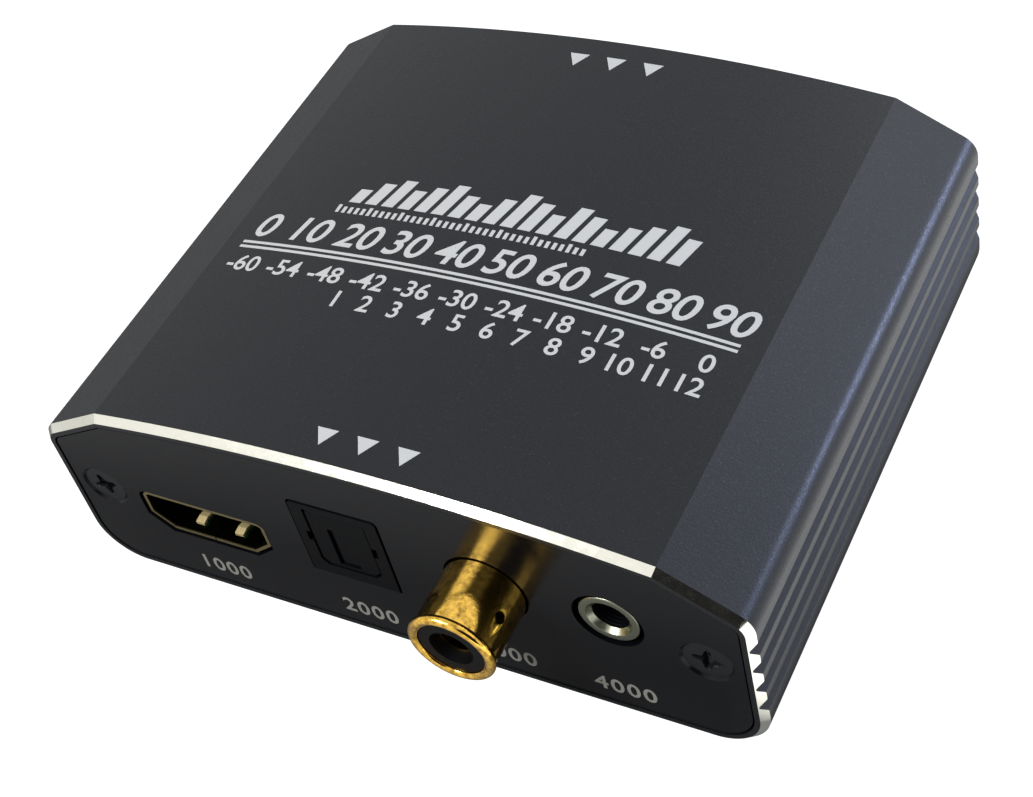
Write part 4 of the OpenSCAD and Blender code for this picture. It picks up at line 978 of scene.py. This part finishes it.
world = bpy.data.worlds.new("studio")
world.use_nodes = True
bpy.context.scene.world = world
studio = world.node_tree
look = add(studio, "TexCoord")
lean = add(studio, "VectorMath", {"operation": "DOT_PRODUCT"}, i0=(look, "Generated"), i1=PATCH_TOWARDS)
outside, within = [math.cos(math.radians(a)) for a in PATCH_EDGE_DEG]
mirror = add(studio, "MapRange", Value=(lean, "Value"), From_Min=outside, From_Max=within, To_Min=1.0,
             To_Max=PATCH_LIGHT)
path = add(studio, "LightPath")
direct = add(studio, "Math", {"operation": "MAXIMUM"}, i0=(path, "Is Camera Ray"),
             i1=(path, "Is Transmission Ray"))
plain = add(studio, "MapRange", Value=(direct, 0), To_Min=STUDIO_LIGHT, To_Max=1.0)
strength = add(studio, "Mix", {"data_type": "FLOAT"}, Factor=(path, "Is Glossy Ray"), i2=(plain, 0),
               i3=(mirror, 0))
background = studio.nodes["Background"]
background.inputs["Color"].default_value = (1, 1, 1, 1)
studio.links.new(strength.outputs[0], background.inputs["Strength"])
print("patch reaches", PATCH_EDGE_DEG[0], "degrees from its middle")

# %% [markdown]
# The floor is pale and looks plain white to the camera. In mirrors it works like cards laid around the
# box: dark close in front, dim further off, bright beside it, and bright under it, so that the
# underside shows its colour. The floor is clear from below, and lies a hair under the box, because two
# faces in one plane would flicker.

# %% Floor
FLOOR_MM, FLOOR_Z_MM = 3000.0, -0.05
FLOOR_SEEN, BESIDE_LIGHT, AHEAD_LIGHT, UNDER_LIGHT = 0.95, 1.4, 0.55, 0.9
BESIDE_MM, AHEAD_MM = (40.0, 44.0), (-38.0, -56.0)
UNDER_X_MM, UNDER_Y_MM = (31.0, 34.0), (29.5, 31.5)


def floor_surface():
    """Glow = seen x camera ray + mirror ray x the brightest of three cards, whose edges fade."""
    material, tree, shader = new_material("pale_floor", "#7c7c7c", roughness=0.9, Specular_IOR_Level=0.0)
    shader.inputs["Emission Color"].default_value = (1, 1, 1, 1)
    place = add(tree, "SeparateXYZ", Vector=(add(tree, "TexCoord"), "Object"))

    def card(place_mm, fade_mm, inner, outer):
        """Light that goes from inner to outer while a place goes over the fading edge of a card."""
        return add(tree, "MapRange", Value=place_mm, From_Min=fade_mm[0] * MM,
                   From_Max=fade_mm[1] * MM, To_Min=inner, To_Max=outer)

    beside = card((place, "X"), BESIDE_MM, 0.0, BESIDE_LIGHT)
    ahead = card((place, "Y"), AHEAD_MM, 0.0, AHEAD_LIGHT)
    around = add(tree, "Math", {"operation": "MAXIMUM"}, i0=(beside, 0), i1=(ahead, 0))
    off_x, off_y = [add(tree, "Math", {"operation": "ABSOLUTE"}, i0=(place, axis)) for axis in "XY"]
    under_x = card((off_x, 0), UNDER_X_MM, UNDER_LIGHT, 0.0)
    under_y = card((off_y, 0), UNDER_Y_MM, 1.0, 0.0)
    under = add(tree, "Math", {"operation": "MULTIPLY"}, i0=(under_x, 0), i1=(under_y, 0))
    bright = add(tree, "Math", {"operation": "MAXIMUM"}, i0=(around, 0), i1=(under, 0))
    rays = add(tree, "LightPath")
    mirrored = add(tree, "Math", {"operation": "MULTIPLY"}, i0=(rays, "Is Glossy Ray"), i1=(bright, 0))
    seen = add(tree, "Math", {"operation": "MULTIPLY"}, i0=(rays, "Is Camera Ray"), i1=FLOOR_SEEN)
    total = add(tree, "Math", {"operation": "ADD"}, i0=(mirrored, 0), i1=(seen, 0))
    tree.links.new(total.outputs[0], shader.inputs["Emission Strength"])
    side = add(tree, "NewGeometry")
    from_below = add(tree, "MixShader", i0=(side, "Backfacing"), i1=(shader, "BSDF"),
                     i2=(add(tree, "BsdfTransparent"), "BSDF"))
    tree.links.new(from_below.outputs[0], tree.nodes["Material Output"].inputs["Surface"])
    return material


floor_mesh = bpy.data.meshes.new("floor")
corners = np.array([(-1, -1), (1, -1), (1, 1), (-1, 1)]) * FLOOR_MM * MM / 2
floor_mesh.from_pydata([(x, y, FLOOR_Z_MM * MM) for x, y in corners], [], [(0, 1, 2, 3)])
floor_mesh.materials.append(floor_surface())
floor = in_scene("floor", floor_mesh)
print("floor:", FLOOR_MM, "mm wide, at", FLOOR_Z_MM, "mm")

# %% [markdown]
# Three lamps light the box, each given by its place, the point it looks at, its width and height, and
# its watts. There is a large one at the front left for all faces that are seen, a weak wide one behind
# for the far edges, and a small bluish one low behind the right side. That one draws the soft line of
# light along the rounded corner between shoulder and side. All are area lamps, because a point lamp
# would leave hard spots on satin metal.

# %% Lamps


def softbox(name, place_mm, aim_mm, size_mm, watts, colour="#ffffff"):
    """A rectangular lamp that looks at a point: yaw = angle of the look on the floor less a quarter
    turn, pitch = angle between the look and straight down."""
    lamp = bpy.data.lights.new(name, "AREA")
    lamp.shape = "RECTANGLE"
    lamp.size, lamp.size_y = [s * MM for s in size_mm]
    lamp.energy = watts
    lamp.color = linear(colour)[:3]
    holder = in_scene(name, lamp)
    place = np.array(place_mm) * MM
    look = np.array(aim_mm) * MM - place
    holder.location = place
    yaw = math.atan2(look[1], look[0]) - math.pi / 2
    pitch = math.atan2(math.hypot(look[0], look[1]), -look[2])
    holder.rotation_euler = (pitch, 0, yaw)
    print("lamp:", name, watts, "W")


softbox("key", place_mm=(-250, -350, 450), aim_mm=(0, 0, 10), size_mm=(300, 300), watts=4.0)
softbox("back", place_mm=(150, 420, 350), aim_mm=(0, 0, 10), size_mm=(400, 200), watts=0.7)
softbox("rim", place_mm=(357, 303, 168), aim_mm=(30, 0, 20), size_mm=(60, 60), watts=1.5, colour="#cbd7fe")

# %% [markdown]
# Standard colour handling shows a colour as it is written.

bpy.context.scene.view_settings.view_transform = "Standard"
